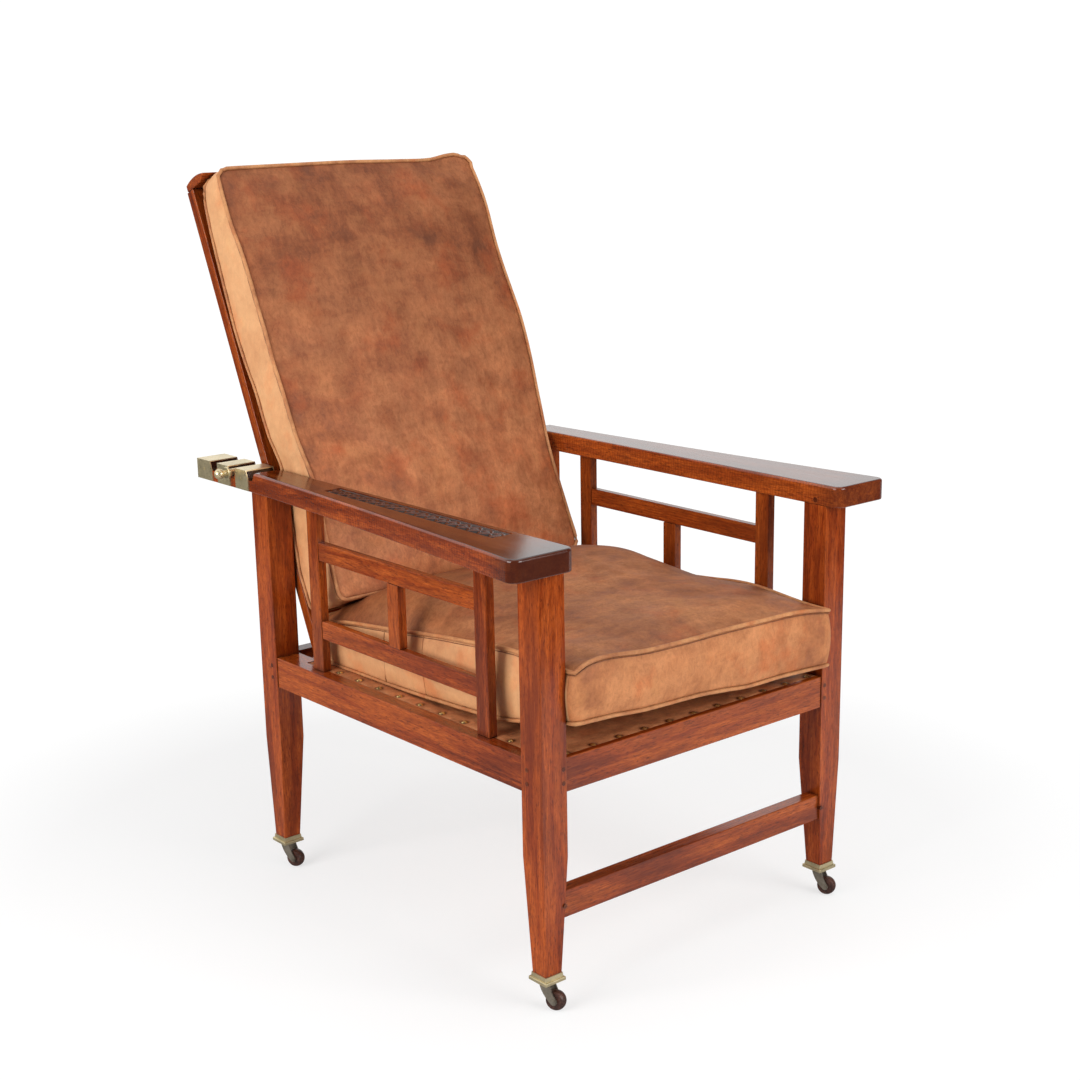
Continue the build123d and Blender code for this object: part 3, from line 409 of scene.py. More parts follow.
def brass(tree, colour, tarnish, rough, filmed=0.5, metallic=0.85):
    """Aged brass: a patchy dull film that is rubbed off along the edges."""
    plain = coordinates(tree, even)
    cloud = noise_at(tree, plain, scale=45, detail=4, roughness=0.65)
    fine = noise_at(tree, plain, scale=260, detail=3)
    edge = edge_mask(tree, radius=0.9 * MM, low=0.8, high=0.98)
    film = scaled(tree, grey_ramp(tree, cloud, low=0.38, high=0.66), filmed)
    film = maths(tree, "SUBTRACT", film, scaled(tree, edge, rubbed_share), clamp=True)
    return {
        "Base Color": mix(tree, film, colour, tarnish),
        "Roughness": spread(tree, fine, *noise_range, *rough),
        "Metallic": metallic,
        "Normal": bump(tree, fine, strength=0.1, distance=0.2 * MM),
    }


# Caster wheels
wheel_tones = [(0.35, (0.02, 0.007, 0.005)), (0.6, (0.075, 0.024, 0.014)), (0.8, (0.12, 0.045, 0.028))]
wheel_scuffed = (0.2, 0.11, 0.075)
wheel_scuff_share = 0.4
wheel_rough = 0.42


def turned_wheel(tree):
    """Dark red-brown wheel with paler scuffs."""
    plain = coordinates(tree, even)
    cloud = noise_at(tree, plain, scale=90, detail=4, roughness=0.6)
    scuff = noise_at(tree, plain, scale=320, detail=3)
    scuffed = scaled(tree, grey_ramp(tree, scuff, low=0.55, high=0.75), wheel_scuff_share)
    return {
        "Base Color": mix(tree, scuffed, ramp(tree, cloud, wheel_tones), wheel_scuffed),
        "Roughness": wheel_rough,
        "Normal": bump(tree, scuff, strength=0.15, distance=0.2 * MM),
    }


# Materials: the arguments of each one's function. A wood's first is the axis of its grain, a leather's are
# its light, middle and dark tone and the scale of its blotches, a brass's its colour, its tarnish and its
# range of roughness.
woods = {
    "wood_up": ("Z", dict(tone=(0.9, 0.84, 0.86))),
    "wood_across": ("X", dict(darkness=0.14)),
    "wood_along": ("Y", dict(darkness=0.12)),
    "wood_panel": ("Z", dict(darkness=0.22)),
    "wood_back": ("Z", dict(tilt=lean, darkness=0.08)),
    "wood_hidden": ("X", dict(darkness=0.45)),
    "wood_peg": ("X", dict(darkness=0.75)),
    "wood_arm": ("Y", dict(
        darkness=0.05, figured=0.6, rough=(0.1, 0.2), polish=0.45, coat=0.25,
        ends=(arm_low.y + 22 * MM, arm_low.y + 80 * MM), notches=front_y + 600 * MM,
    )),
    "carving": ("Y", dict(
        darkness=0.84, rough=(0.14, 0.26), polish=0.3, hollows=(arm_top - 2.1 * MM, arm_top - 0.9 * MM),
    )),
}
leathers = {
    "leather_face": ((0.54, 0.2, 0.078), (0.43, 0.136, 0.049), (0.27, 0.088, 0.037), 6, dict(
        streak_turn=lean, patina=("Z", 0.5, 0.92, (0.64, 0.59, 0.56)),
    )),
    "leather_seat": ((0.43, 0.17, 0.066), (0.35, 0.124, 0.046), (0.25, 0.08, 0.03), 7, dict(
        patina=("Y", front_y + 230 * MM, front_y + 430 * MM, (0.76, 0.68, 0.62)),
    )),
    "leather_boxing": ((0.76, 0.4, 0.187), (0.7, 0.34, 0.153), (0.59, 0.262, 0.116), 5, dict(marked=0.25)),
    "leather_front": ((0.6, 0.245, 0.096), (0.49, 0.182, 0.066), (0.35, 0.118, 0.045), 8, dict(marked=0.6)),
    # The welts are lighter than the faces they edge: a painted highlight along the ridge of the piping
    "leather_welt": ((0.62, 0.29, 0.12), (0.5, 0.205, 0.082), (0.36, 0.128, 0.052), 16, dict(marked=0.4)),
    "leather_deck": ((0.6, 0.25, 0.108), (0.46, 0.178, 0.074), (0.29, 0.104, 0.046), 9, dict(
        reach=6 * MM, depth=(0.32, 0.85), ringed=True,
    )),
    "thread": ((0.3, 0.115, 0.048), (0.22, 0.08, 0.034), (0.14, 0.048, 0.021), 20, {}),
}
brasses = {
    "brass": ((0.76, 0.64, 0.39), (0.44, 0.37, 0.2), (0.26, 0.42), {}),
    "brass_nail": ((0.84, 0.6, 0.24), (0.17, 0.105, 0.042), (0.16, 0.28), dict(filmed=0.75, metallic=0.9)),
    "brass_caster": ((0.66, 0.56, 0.34), (0.3, 0.25, 0.15), (0.28, 0.44), {}),
    "bronze_fork": ((0.34, 0.3, 0.24), (0.12, 0.1, 0.075), (0.35, 0.5), dict(filmed=0.8)),
}
wheels = {"wheel": ({},)}
materials = {}
for maker, looks in ((wood, woods), (leather, leathers), (brass, brasses), (turned_wheel, wheels)):
    for name, (*first, rest) in looks.items():
        materials[name], tree, shader = new_material(name)
        feed(shader, maker(tree, *first, **rest))


# Which carried-over pieces each material is for, by the starts of their names
dressed = {
    "wood_arm": ["arm_"],
    "wood_up": ["leg_"],
    "wood_panel": ["panel_upright"],
    "wood_along": ["panel_bar", "side_rail"],
    "wood_across": ["front_", "rear_rail", "back_slat", "back_bottom_rail", "back_crest"],
    "wood_back": ["back_stile"],
    "wood_hidden": ["hinge_rail"],
    "wood_peg": ["dowel_pegs"],
    "brass_nail": ["deck_nails"],
    "brass_caster": ["caster_collars", "hinge_leaves", "hinge_pins", "hinge_screws"],
    "bronze_fork": ["caster_fork", "caster_axle"],
    "wheel": ["caster_wheel"],
    "brass": ["notch_saddles", "saddle_pins", "support_bar", "bar_knob"],
}


def dress_nodes():
    for choice, starts in dressed.items():
        for name, node in nodes.items():
            if name.startswith(tuple(starts)):
                node.data.materials.clear()
                node.data.materials.append(materials[choice])


# Mesh helpers
def make_object(name, vertices, faces, material):
    mesh = bpy.data.meshes.new(name)
    mesh.from_pydata([tuple(vertex) for vertex in vertices], [], faces)
    mesh.validate()
    mesh.update()
    for polygon in mesh.polygons:
        polygon.use_smooth = True
    mesh.materials.append(material)
    piece = bpy.data.objects.new(name, mesh)
    bpy.context.scene.collection.objects.link(piece)
    return piece


def between(value, table):
    """Reads a table of (place, size) pairs at a place, with a smooth curve through its points."""
    if value <= table[0][0]:
        return table[0][1]
    if value >= table[-1][0]:
        return table[-1][1]
    for index in range(len(table) - 1):
        x0, y0 = table[index]
        x1, y1 = table[index + 1]
        if value <= x1:
            break
    before = table[max(index - 1, 0)]
    after = table[min(index + 2, len(table) - 1)]
    m0 = (y1 - before[1]) / (x1 - before[0])
    m1 = (after[1] - y0) / (after[0] - x0)
    span = x1 - x0
    t = (value - x0) / span
    h00 = 2 * t**3 - 3 * t**2 + 1
    h10 = t**3 - 2 * t**2 + t
    h01 = -2 * t**3 + 3 * t**2
    h11 = t**3 - t**2
    return h00 * y0 + h10 * span * m0 + h01 * y1 + h11 * span * m1


def box_grid(nu, nv, nw):
    """The quads over a box's surface, as index triples (i, j, k) into its lattice."""
    quads = []
    for i in range(nu):
        for j in range(nv):
            quads.append(((i, j, nw), (i + 1, j, nw), (i + 1, j + 1, nw), (i, j + 1, nw)))
            quads.append(((i, j, 0), (i, j + 1, 0), (i + 1, j + 1, 0), (i + 1, j, 0)))
    for i in range(nu):
        for k in range(nw):
            quads.append(((i, 0, k), (i + 1, 0, k), (i + 1, 0, k + 1), (i, 0, k + 1)))
            quads.append(((i, nv, k), (i, nv, k + 1), (i + 1, nv, k + 1), (i + 1, nv, k)))
    for j in range(nv):
        for k in range(nw):
            quads.append(((0, j, k), (0, j, k + 1), (0, j + 1, k + 1), (0, j + 1, k)))
            quads.append(((nu, j, k), (nu, j + 1, k), (nu, j + 1, k + 1), (nu, j, k + 1)))
    return quads


def rounded_outline(u, v, half_x, half_y, radius):
    """A point of a rounded rectangle, and its outward direction, from a point on the unit square."""
    x = u * half_x
    y = v * half_y
    inner_x = half_x - radius
    inner_y = half_y - radius
    if abs(x) > inner_x and abs(y) > inner_y:
        corner = Vector((math.copysign(inner_x, x), math.copysign(inner_y, y)))
        away = (Vector((x, y)) - corner).normalized()
        return corner + away * radius, away
    if abs(u) >= abs(v):
        return Vector((x, y)), Vector((math.copysign(1, u), 0))
    return Vector((x, y)), Vector((0, math.copysign(1, v)))


def smooth(value, low, high):
    """0 below low, 1 above high, with an eased step between them."""
    share = min(max((value - low) / (high - low), 0), 1)
    return share * share * (3 - 2 * share)


# Cushions: each is a box's lattice of points, moved by its spec's functions of the place on it
tiny = 1e-6
nearly_one = 0.9999
edge_from = 0.99
front_until = 0.02
boxing_slot = 1
front_slot = 2


def cushion_shape(spec, u, v, w):
    """A cushion's surface point from a point of the cube: across, along and up in its own axes."""
    half_x, half_y = spec["half_size"]
    ring = max(abs(u), abs(v), tiny)
    rim, away = rounded_outline(u / ring, v / ring, half_x, half_y, spec["corner"](u, v))
    spot = rim * ring
    along = (spot.y / half_y + 1) / 2
    across = spot.x / half_x
    top = spec["top"](across, along)
    bottom = spec["bottom"](across, along)
    draw = spec["draw"](rim.x / half_x, (rim.y / half_y + 1) / 2)
    share = (w + 1) / 2
    if ring > nearly_one and abs(w) < nearly_one:
        belly = spec["belly"](across, along) * (1 - w * w)
        spot = spot + away * (belly - draw)
        return Vector((spot.x, spot.y, bottom + (top - bottom) * share))
    spot = spot - away * draw * ring**3
    if w > 0:
        return Vector((spot.x, spot.y, top + spec["crown"](u, v)))
    return Vector((spot.x, spot.y, bottom - spec["under"] * (1 - ring**3)))


def build_cushion(spec):
    """A cushion's closed skin, the loops of its welts and stitching, its seams and its held points."""
    nu, nv, nw = spec["lattice"]
    index = {}
    vertices = []
    quads = box_grid(nu, nv, nw)
    for quad in quads:
        for key in quad:
            if key not in index:
                index[key] = len(vertices)
                u, v, w = (2 * key[axis] / count - 1 for axis, count in enumerate(spec["lattice"]))
                vertices.append(spec["place"](cushion_shape(spec, u, v, w)))
    faces = [[index[key] for key in quad] for quad in quads]
    rim = [(i, 0) for i in range(nu)] + [(nu, j) for j in range(nv)]
    rim += [(i, nv) for i in range(nu, 0, -1)] + [(0, j) for j in range(nv, 0, -1)]
    loops = {level: [index[(i, j, k)] for i, j in rim] for level, k in (("upper", nw), ("lower", 0))}
    stitches = [(index[(i, j, nw)], index[(i, j, nw - 1)]) for i, j in rim]
    seams = [
        [index[(side * nu, round(share * nv), k)] for k in range(nw + 1)] for side, share in spec["seams"]
    ]
    held = []
    for (i, j, k), number in index.items():
        rests = k == 0 or j == spec["held_end"] * nv
        welted = k == nw and (i in (0, nu) or j in (0, nv))
        if rests or welted:
            held.append(number)
    piece = make_object(spec["name"], vertices, faces, materials[spec["face"]])
    piece.data.materials.append(materials["leather_boxing"])
    piece.data.materials.append(materials["leather_front"])
    for polygon, quad in zip(piece.data.polygons, quads):
        if len({key[2] for key in quad}) > 1:
            at_front = max(key[1] for key in quad) <= 1
            polygon.material_index = front_slot if at_front and spec["dark_front"] else boxing_slot
    return piece, loops, stitches, seams, held


tube_sides = 10
tube_reference = Vector((0.13, 0.21, 1))


def tube(name, points, radius, material, closed=True):
    """A tube through a run of points, none of which lie along the reference direction."""
    count = len(points)
    vertices = []
    for index, point in enumerate(points):
        before = points[index - 1] if closed or index else point
        after = points[(index + 1) % count] if closed or index < count - 1 else point
        ahead = (after - before).normalized()
        side = ahead.cross(tube_reference).normalized()
        over = side.cross(ahead)
        for step in range(tube_sides):
            angle = 2 * math.pi * step / tube_sides
            vertices.append(point + (side * math.cos(angle) + over * math.sin(angle)) * radius)
    faces = []
    for index in range(count if closed else count - 1):
        here = index * tube_sides
        there = (index + 1) % count * tube_sides
        for step in range(tube_sides):
            after = (step + 1) % tube_sides
            faces.append([here + step, there + step, there + after, here + after])
    if not closed:
        faces.append(list(range(tube_sides)))
        faces.append([(count - 1) * tube_sides + step for step in range(tube_sides - 1, -1, -1)])
    return make_object(name, vertices, faces, material)


# Cloth pass: how long it runs, how far it may move a point in all and sideways, and its settings
cloth_frames = 20
cloth_cap = 9 * MM
cloth_side_cap = 1.5 * MM
cloth_settings = dict(
    quality=8, mass=0.4, tension_stiffness=60, compression_stiffness=60, shear_stiffness=25,
    bending_stiffness=1.2, use_pressure=True, uniform_pressure_force=2, shrink_min=-0.004,
    vertex_group_mass="held",
)


def inflate(piece, held):
    """Blows the cushion up as cloth, held at its welts and where it rests, and keeps the wrinkled shape."""
    scene = bpy.context.scene
    piece.vertex_groups.new(name="held").add(held, 1, "REPLACE")
    modifier = piece.modifiers.new("cloth", "CLOTH")
    for setting, value in cloth_settings.items():
        setattr(modifier.settings, setting, value)
    modifier.settings.effector_weights.gravity = 0
    scene.frame_start = 1
    scene.frame_end = cloth_frames
    for step in range(1, cloth_frames + 1):
        scene.frame_set(step)
    graph = bpy.context.evaluated_depsgraph_get()
    moved = [vertex.co.copy() for vertex in piece.evaluated_get(graph).data.vertices]
    piece.modifiers.remove(modifier)
    for vertex, place in zip(piece.data.vertices, moved):
        shift = place - vertex.co
        if shift.length > cloth_cap:
            shift = shift.normalized() * cloth_cap
        shift.x = min(max(shift.x, -cloth_side_cap), cloth_side_cap)
        vertex.co = vertex.co + shift
    piece.data.update()
    scene.frame_set(1)


def press(piece, places):
    """Pushes hollows and creases into a piece: each is a line, a half width and a push."""
    for vertex in piece.data.vertices:
        for start, end, half, push in places:
            run = end - start
            share = min(max((vertex.co - start).dot(run) / run.dot(run), 0), 1)
            gap = (vertex.co - (start + run * share)).length
            if gap < half:
                fade = (1 - (gap / half) ** 2) ** 2 * (1 - abs(2 * share - 1) ** 3)
                vertex.co = vertex.co + push * fade


# Seat cushion, in mm from the front faces of the front legs. Its lines are (place, height) pairs along
# it, and its tilts (place, height) pairs across it, from -1 at the near side to 1 at the far one.
seat_half_width = 241
seat_front = -14
seat_rear = 570
seat_length = seat_rear - seat_front
seat_front_corner = 5
seat_rear_corner = 12
seat_top_line = [
    (-14, 468), (117, 467), (210, 457), (270, 451), (341, 442), (412, 433), (484, 425), (534, 417),
    (570, 411),
]
seat_bottom_line = [(-14, 381), (14, 378), (70, 371), (157, 363), (272, 356), (388, 351.5), (570, 350.5)]
seat_top_tilt = [
    (-1, -3), (-0.93, 6), (-0.78, 9), (-0.5, 2), (-0.2, 0), (0.1, 0), (0.45, -2), (0.7, -4), (0.92, -11),
    (1, -15),
]
seat_bottom_tilt = [(-1, 17), (-0.73, 14), (-0.5, 9), (-0.1, 6), (0.1, 2), (0.3, -3), (0.6, -4), (1, -9)]
seat_crown_line = [
    (-14, 2), (8, 4), (54, 7), (122, 9), (214, 21), (300, 41), (345, 50), (385, 53), (445, 50), (480, 42),
    (498, 36), (515, 30), (530, 27), (570, 20),
]
seat_fullness = [(-14, 2.6), (214, 4), (385, 8), (570, 8)]
seat_top_fade = (0.02, 0.35)
seat_bottom_fade = (0, 0.3)
seat_front_rise = (-20, 45)
seat_rear_fall = (545, 570)
seat_rear_loss = 0.6
seat_roundness = 0.8
seat_front_belly = 6
seat_near_belly = 4
seat_far_belly = 2
seat_side_draw = 5


def seat_y(along):
    return seat_front + seat_length * along


def seat_top(across, along):
    tilt = between(across, seat_top_tilt) * (1 - smooth(along, *seat_top_fade))
    return (between(seat_y(along), seat_top_line) + tilt) * MM


def seat_bottom(across, along):
    tilt = between(across, seat_bottom_tilt) * (1 - smooth(along, *seat_bottom_fade))
    return (between(seat_y(along), seat_bottom_line) + tilt) * MM


def seat_crown(u, v):
    """How far the top stands above the welt: it rises behind the front edge and is cut off at the rear."""
    y = seat_y((v + 1) / 2)
    sides = (1 - abs(u) ** between(y, seat_fullness)) ** seat_roundness
    rear = 1 - seat_rear_loss * smooth(y, *seat_rear_fall)
    return between(y, seat_crown_line) * sides * smooth(y, *seat_front_rise) * rear * MM


def seat_belly(across, along):
    if along < front_until:
        return seat_front_belly * MM
    return (seat_near_belly if across < 0 else seat_far_belly) * MM


def seat_draw(across, along):
    return seat_side_draw * MM * (1 - abs(2 * along - 1) ** 4) if abs(across) > edge_from else 0


def seat_place(point):
    return Vector((point.x, front_y + (seat_front + seat_rear) / 2 * MM + point.y, point.z))


def on_seat(x, y, z):
    return Vector((x * MM, front_y + y * MM, z * MM))


# Creases of the seat: start and end, half width and push, all in mm
seat_folds = [
    ((-225, 120, 470), (-150, 60, 480), 26, (0, 0, -5)),
    ((-232, 40, 478), (-190, 0, 480), 20, (0, 0, -6)),
    ((-238, 10, 462), (-185, -22, 452), 11, (0, 5, -1)),
    ((-238, -16, 420), (-205, -22, 402), 10, (0, 4, 0)),
    ((-120, 330, 480), (60, 260, 485), 40, (0, 0, -3)),
    ((-160, 250, 475), (40, 180, 480), 32, (0, 0, -2.5)),
    ((60, 120, 475), (180, 60, 470), 34, (0, 0, -3)),
    ((-60, 420, 480), (120, 380, 480), 36, (0, 0, -3)),
    ((-30, -20, 425), (60, -20, 415), 40, (0, 3, 0)),
    ((170, -22, 452), (232, -18, 430), 14, (0, 3, 0)),
]


seat_cushion = dict(
    name="seat_cushion_cover",
    body="frame",
    node="seat_cushion",
    face="leather_seat",
    lattice=(48, 56, 10),
    place=seat_place,
    half_size=(seat_half_width * MM, seat_length / 2 * MM),
    corner=lambda u, v: (seat_front_corner if v < 0 else seat_rear_corner) * MM,
    top=seat_top,
    bottom=seat_bottom,
    belly=seat_belly,
    draw=seat_draw,
    crown=seat_crown,
    under=0.5 * MM,
    seams=[(0, 0.545), (0, 0.72), (1, 0.6)],
    held_end=1,
    dark_front=True,
    creases=[
        (on_seat(*start), on_seat(*end), half * MM, Vector([part * MM for part in push]))
        for start, end, half, push in seat_folds
    ],
)


# Back cushion, in mm out from the hinge line and up along the back. Its lines are (place, size) pairs
# along it, and its head's draw is one across it, from -1 at the near side to 1 at the far one.
back_half_width = 240
back_foot = 60
back_head = 745
back_foot_corners = (12, 28)
back_head_corners = (24, 34)
back_belly = 2.5
back_middle_rise = 3
back_middle_start = (0.1, 0.3)
back_front_blend = (-0.9, 0.9)
back_rear_blend = (-0.95, -0.2)
back_fullness = 3.2
back_roundness = 0.9
back_foot_rise = (-0.01, 0.06)
back_head_fall = (0.95, 1.01)
back_near_front = [
    (60, 120), (76, 117), (92, 116.5), (110, 118), (160, 124), (200, 129), (248, 131), (269, 127), (290, 123),
    (314, 119), (384, 117), (428, 114), (471, 115), (514, 113.5), (557, 113), (602, 110), (649, 102),
    (691, 100), (714, 98), (745, 97),
]
back_far_front = [
    (60, 104), (150, 112), (217, 113), (288, 111), (384, 117), (469, 118), (575, 112), (654, 114), (720, 105),
    (745, 100),
]
back_near_rear = [
    (60, 33), (102, 29), (125, 28), (159, 35), (279, 58), (304, 54), (334, 47), (405, 45), (452, 39),
    (497, 36), (540, 37), (584, 39), (627, 41), (670, 44), (712, 49), (745, 58),
]
back_far_rear = [(60, 25), (280, 27), (400, 33), (570, 43), (690, 52), (745, 57)]
back_crown_line = [(60, 2), (100, 5), (200, 9), (400, 12), (640, 10), (705, 6), (745, 2)]
back_far_draw = [
    (60, 0), (90, 5), (130, 10), (200, 14), (245, 12), (290, 7), (335, 5), (400, 2), (450, 1), (500, 3),
    (560, 4), (690, 4), (745, 5),
]
back_head_draw = [(-1, 10), (-0.5, 10), (0, 10), (0.4, 12), (0.65, 12), (0.8, 6), (0.9, 4), (1, 4)]
back_near_draw = [(60, 0), (120, 2), (300, 1), (500, 0), (690, 1), (745, 6)]


def back_up(along):
    return back_foot + (back_head - back_foot) * along


def back_top(across, along):
    up = back_up(along)
    share = smooth(across, *back_front_blend)
    middle = back_middle_rise * (1 - across * across) * smooth(along, *back_middle_start)
    return (between(up, back_near_front) * (1 - share) + between(up, back_far_front) * share + middle) * MM


def back_bottom(across, along):
    up = back_up(along)
    share = smooth(across, *back_rear_blend)
    return (between(up, back_near_rear) * (1 - share) + between(up, back_far_rear) * share) * MM


def back_crown(u, v):
    along = (v + 1) / 2
    sides = (1 - abs(u) ** back_fullness) ** back_roundness
    ends = smooth(along, *back_foot_rise) * (1 - smooth(along, *back_head_fall))
    return between(back_up(along), back_crown_line) * sides * ends * MM


def back_draw(across, along):
    """How far each edge draws in: the far side more than the near one, the head most past its middle."""
    side = between(back_up(along), back_far_draw if across > 0 else back_near_draw) * MM
    head = between(across, back_head_draw) * MM
    if abs(across) > edge_from:
        return side
    if along > edge_from:
        return head
    return (side + head) / 2 if across < 0 and along > 0.5 else 0


def back_corner(u, v):
    near, far = back_foot_corners if v < 0 else back_head_corners
    return (far if u > 0 else near) * MM


def back_place(point):
    along = (back_foot + back_head) / 2 * MM + point.y
    return hinge + up_back * along + out_back * point.z + Vector((point.x, 0, 0))


def on_back(x, out, up):
    return hinge + Vector((x * MM, 0, 0)) + out_back * (out * MM) + up_back * (up * MM)


# Creases of the back: start and end, half width, and push across and outwards, all in mm
back_folds = [
    ((-215, 112, 95), (-90, 120, 150), 30, (0, -4)),
    ((-222, 118, 170), (-140, 130, 110), 26, (0, -3)),
    ((-243, 100, 80), (-240, 50, 200), 16, (4, 0)),
    ((60, 120, 90), (200, 118, 140), 34, (0, -4)),
    ((120, 112, 690), (215, 112, 640), 30, (0, -3)),
    ((-60, 130, 520), (160, 130, 430), 60, (0, -2)),
]


back_cushion = dict(
    name="back_cushion_cover",
    body="back",
    node="back_cushion",
    face="leather_face",
    lattice=(48, 68, 10),
    place=back_place,
    half_size=(back_half_width * MM, (back_head - back_foot) / 2 * MM),
    corner=back_corner,
    top=back_top,
    bottom=back_bottom,
    belly=lambda across, along: back_belly * MM,
    draw=back_draw,
    crown=back_crown,
    under=0.3 * MM,
    seams=[(1, 0.3)],
    held_end=0,
    dark_front=False,
    creases=[
        (on_back(*start), on_back(*end), half * MM, Vector((across * MM, 0, 0)) + out_back * out * MM)
        for start, end, half, (across, out) in back_folds
    ],
)


# Sewing, and how far the stitches lie from the welt towards the next row of the lattice
welt_radius = 2.9 * MM
seam_radius = 0.7 * MM
stitch_radius = 0.55 * MM
stitch_share = 0.55
subdivisions = 1


def make_cushion(spec):
    """One cushion with its piped welts, its stitching and its boxing seams."""
    piece, loops, stitches, seams, held = build_cushion(spec)
    inflate(piece, held)
    press(piece, spec["creases"])
    skin = [vertex.co.copy() for vertex in piece.data.vertices]
    welt = materials["leather_welt"]
    parts = [piece]

    def sew(kind, points, radius, material, closed=True):
        parts.append(tube(spec["name"] + kind, points, radius, material, closed))

    for level, loop in loops.items():
        sew("_welt_" + level, [skin[index] for index in loop], welt_radius, welt)
    stitched = [skin[rim].lerp(skin[inner], stitch_share) for rim, inner in stitches]
    sew("_stitch", stitched, stitch_radius, materials["thread"])
    for number, seam in enumerate(seams):
        sew("_seam_" + str(number), [skin[index] for index in seam], seam_radius, welt, closed=False)
    smoothing = piece.modifiers.new("smooth", "SUBSURF")
    smoothing.levels = smoothing.render_levels = subdivisions
    for part in parts:
        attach(part, spec["body"])
    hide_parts(spec["node"])
    return parts


# Carved strip in the near arm, in mm along the arm and inwards from its outer edge
carving_start = 86
carving_length = 387
carving_inset = 10.5
carving_front_width = 34
carving_rear_width = 28
carving_depth = 2.5
carving_rows = 420
carving_columns = 34
ground_lift = 0.05
relief_height = carving_depth - 0.35
relief_rough = 0.08
rough_along = 0.35
rough_across = 4

# The pattern, in mm along the strip and in shares of its half width across it
border_middle = 0.9
border_half = 0.1
border_height = 0.85
bead_pitch = 4.0
plait_pitch = 46
plait_swing = 0.52
band_half = 0.2
groove_half = 0.22
groove_depth = 0.16
boss_half_length = 6.2
boss_half_width = 0.36
boss_height = 0.9
boss_eye = 0.35
boss_petals = 6
slant_share = 0.7

# How high a bead, a band at a crossing and a petal are at their lowest, and how much they rise from there
bead_low, bead_rise = 0.7, 0.3
over_low, over_rise = 0.72, 0.28
petal_low, petal_rise = 0.78, 0.22


def carved_height(along, across):
    """Height of the relief, 0 at its ground and 1 at its top: a plait of two bands with a boss in each
    eye, and a beaded border."""
    border = abs(abs(across) - border_middle)
    if border < border_half:
        bead = abs((along / bead_pitch) % 1.0 - 0.5) * 2
        rounding = math.sqrt(max(1 - (border / border_half) ** 2, 0))
        return border_height * rounding * (bead_low + bead_rise * (1 - bead**3))
    phase = 2 * math.pi * along / plait_pitch
    height = 0.0
    for sign in (-1, 1):
        middle = sign * plait_swing * math.sin(phase)
        slope = plait_swing * math.cos(phase)
        gap = abs(across - middle) / (band_half * math.sqrt(1 + slant_share * slope * slope))
        if gap < 1:
            over = 0.5 + 0.5 * sign * math.cos(phase)
            ridge = math.sqrt(1 - gap * gap) * (over_low + over_rise * over)
            groove = groove_depth * max(0, 1 - (gap / groove_half) ** 2)
            height = max(height, ridge - groove)
    eye = ((along / plait_pitch * 2) % 1.0 - 0.5) * plait_pitch / 2
    radius = math.hypot(eye / boss_half_length, across / boss_half_width)
    if radius < 1:
        angle = math.atan2(across / boss_half_width, eye / boss_half_length)
        petal = petal_low + petal_rise * math.cos(boss_petals * angle) if radius > boss_eye else 1
        height = max(height, boss_height * math.sqrt(1 - radius**2) * petal)
    return height


def make_carving():
    """The relief that fills the sunk strip."""
    vertices = []
    for row in range(carving_rows + 1):
        along = carving_length * row / carving_rows
        width = carving_front_width + (carving_rear_width - carving_front_width) * along / carving_length
        for column in range(carving_columns + 1):
            across = 2 * column / carving_columns - 1
            x = arm_high.x - (carving_inset + width * (across + 1) / 2) * MM
            rough = noise.noise(Vector((along * rough_along, across * rough_across, 0))) * relief_rough
            height = min(max(carved_height(along, across) + rough, 0), 1)
            if row in (0, carving_rows) or column in (0, carving_columns):
                height = 0
            z = arm_top - (carving_depth - ground_lift) * MM + height * relief_height * MM
            vertices.append((x, front_y + (carving_start + along) * MM, z))
    faces = []
    step = carving_columns + 1
    for row in range(carving_rows):
        for column in range(carving_columns):
            here = row * step + column
            faces.append([here, here + step, here + step + 1, here + 1])
    piece = make_object("carved_strip", vertices, faces, materials["carving"])
    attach(piece, "frame")


# Seat deck: leather drawn down by its nails and puckered between them
deck_cell = 3 * MM
deck_thick = 2.2 * MM
deck_gap = 0.5 * MM
nail_apart = 12 * MM
nail_dome = 0.2 * MM
nail_reach = 4.5 * MM
# Painted shade round each nail: full within the inner distance, gone past the outer
ring_shade_inner = 5 * MM
ring_shade_outer = 8.5 * MM
pucker_height = 1.8 * MM
pucker_reach = 20 * MM
pucker_middle = 9 * MM
pucker_width = 15 * MM
wave_height = 0.5 * MM
wave_scale = 60
wave_reach = 12 * MM
edge_drop = 1.0 * MM
edge_width = 4 * MM
hair = 0.01 * MM


def nail_centres(top):
    """Where the deck's nails stand, read from the heads of the nails in the frame."""
    groups = []
    for vertex in nodes["deck_nails"].data.vertices:
        if vertex.co.z < top + nail_dome:
            continue
        spot = Vector((vertex.co.x, vertex.co.y))
        for group in groups:
            if (group[0] - spot).length < nail_apart:
                group.append(spot)
                break
        else:
            groups.append([spot])
    centres = []
    for group in groups:
        across, along = ([spot[axis] for spot in group] for axis in (0, 1))
        centres.append(Vector(((min(across) + max(across)) / 2, (min(along) + max(along)) / 2)))
    return centres


def split(start, end):
    """Even steps from one place to another, both included."""
    count = max(round((end - start) / deck_cell), 1)
    return [start + (end - start) * step / count for step in range(count + 1)]


def deck_height(spot, edge, nearest):
    """Height above the CAD deck's top of a spot, from its distance to the edge and to the nearest nail."""
    beside = math.exp(-(((edge - pucker_middle) / pucker_width) ** 2))
    fold = smooth(nearest, nail_reach, pucker_reach) * beside
    wave = noise.noise(Vector((spot.x * wave_scale, spot.y * wave_scale, 0))) * wave_height
    drop = edge_drop * (1 - smooth(edge, 0, edge_width))
    return pucker_height * fold + wave * smooth(nearest, nail_reach, wave_reach) - drop


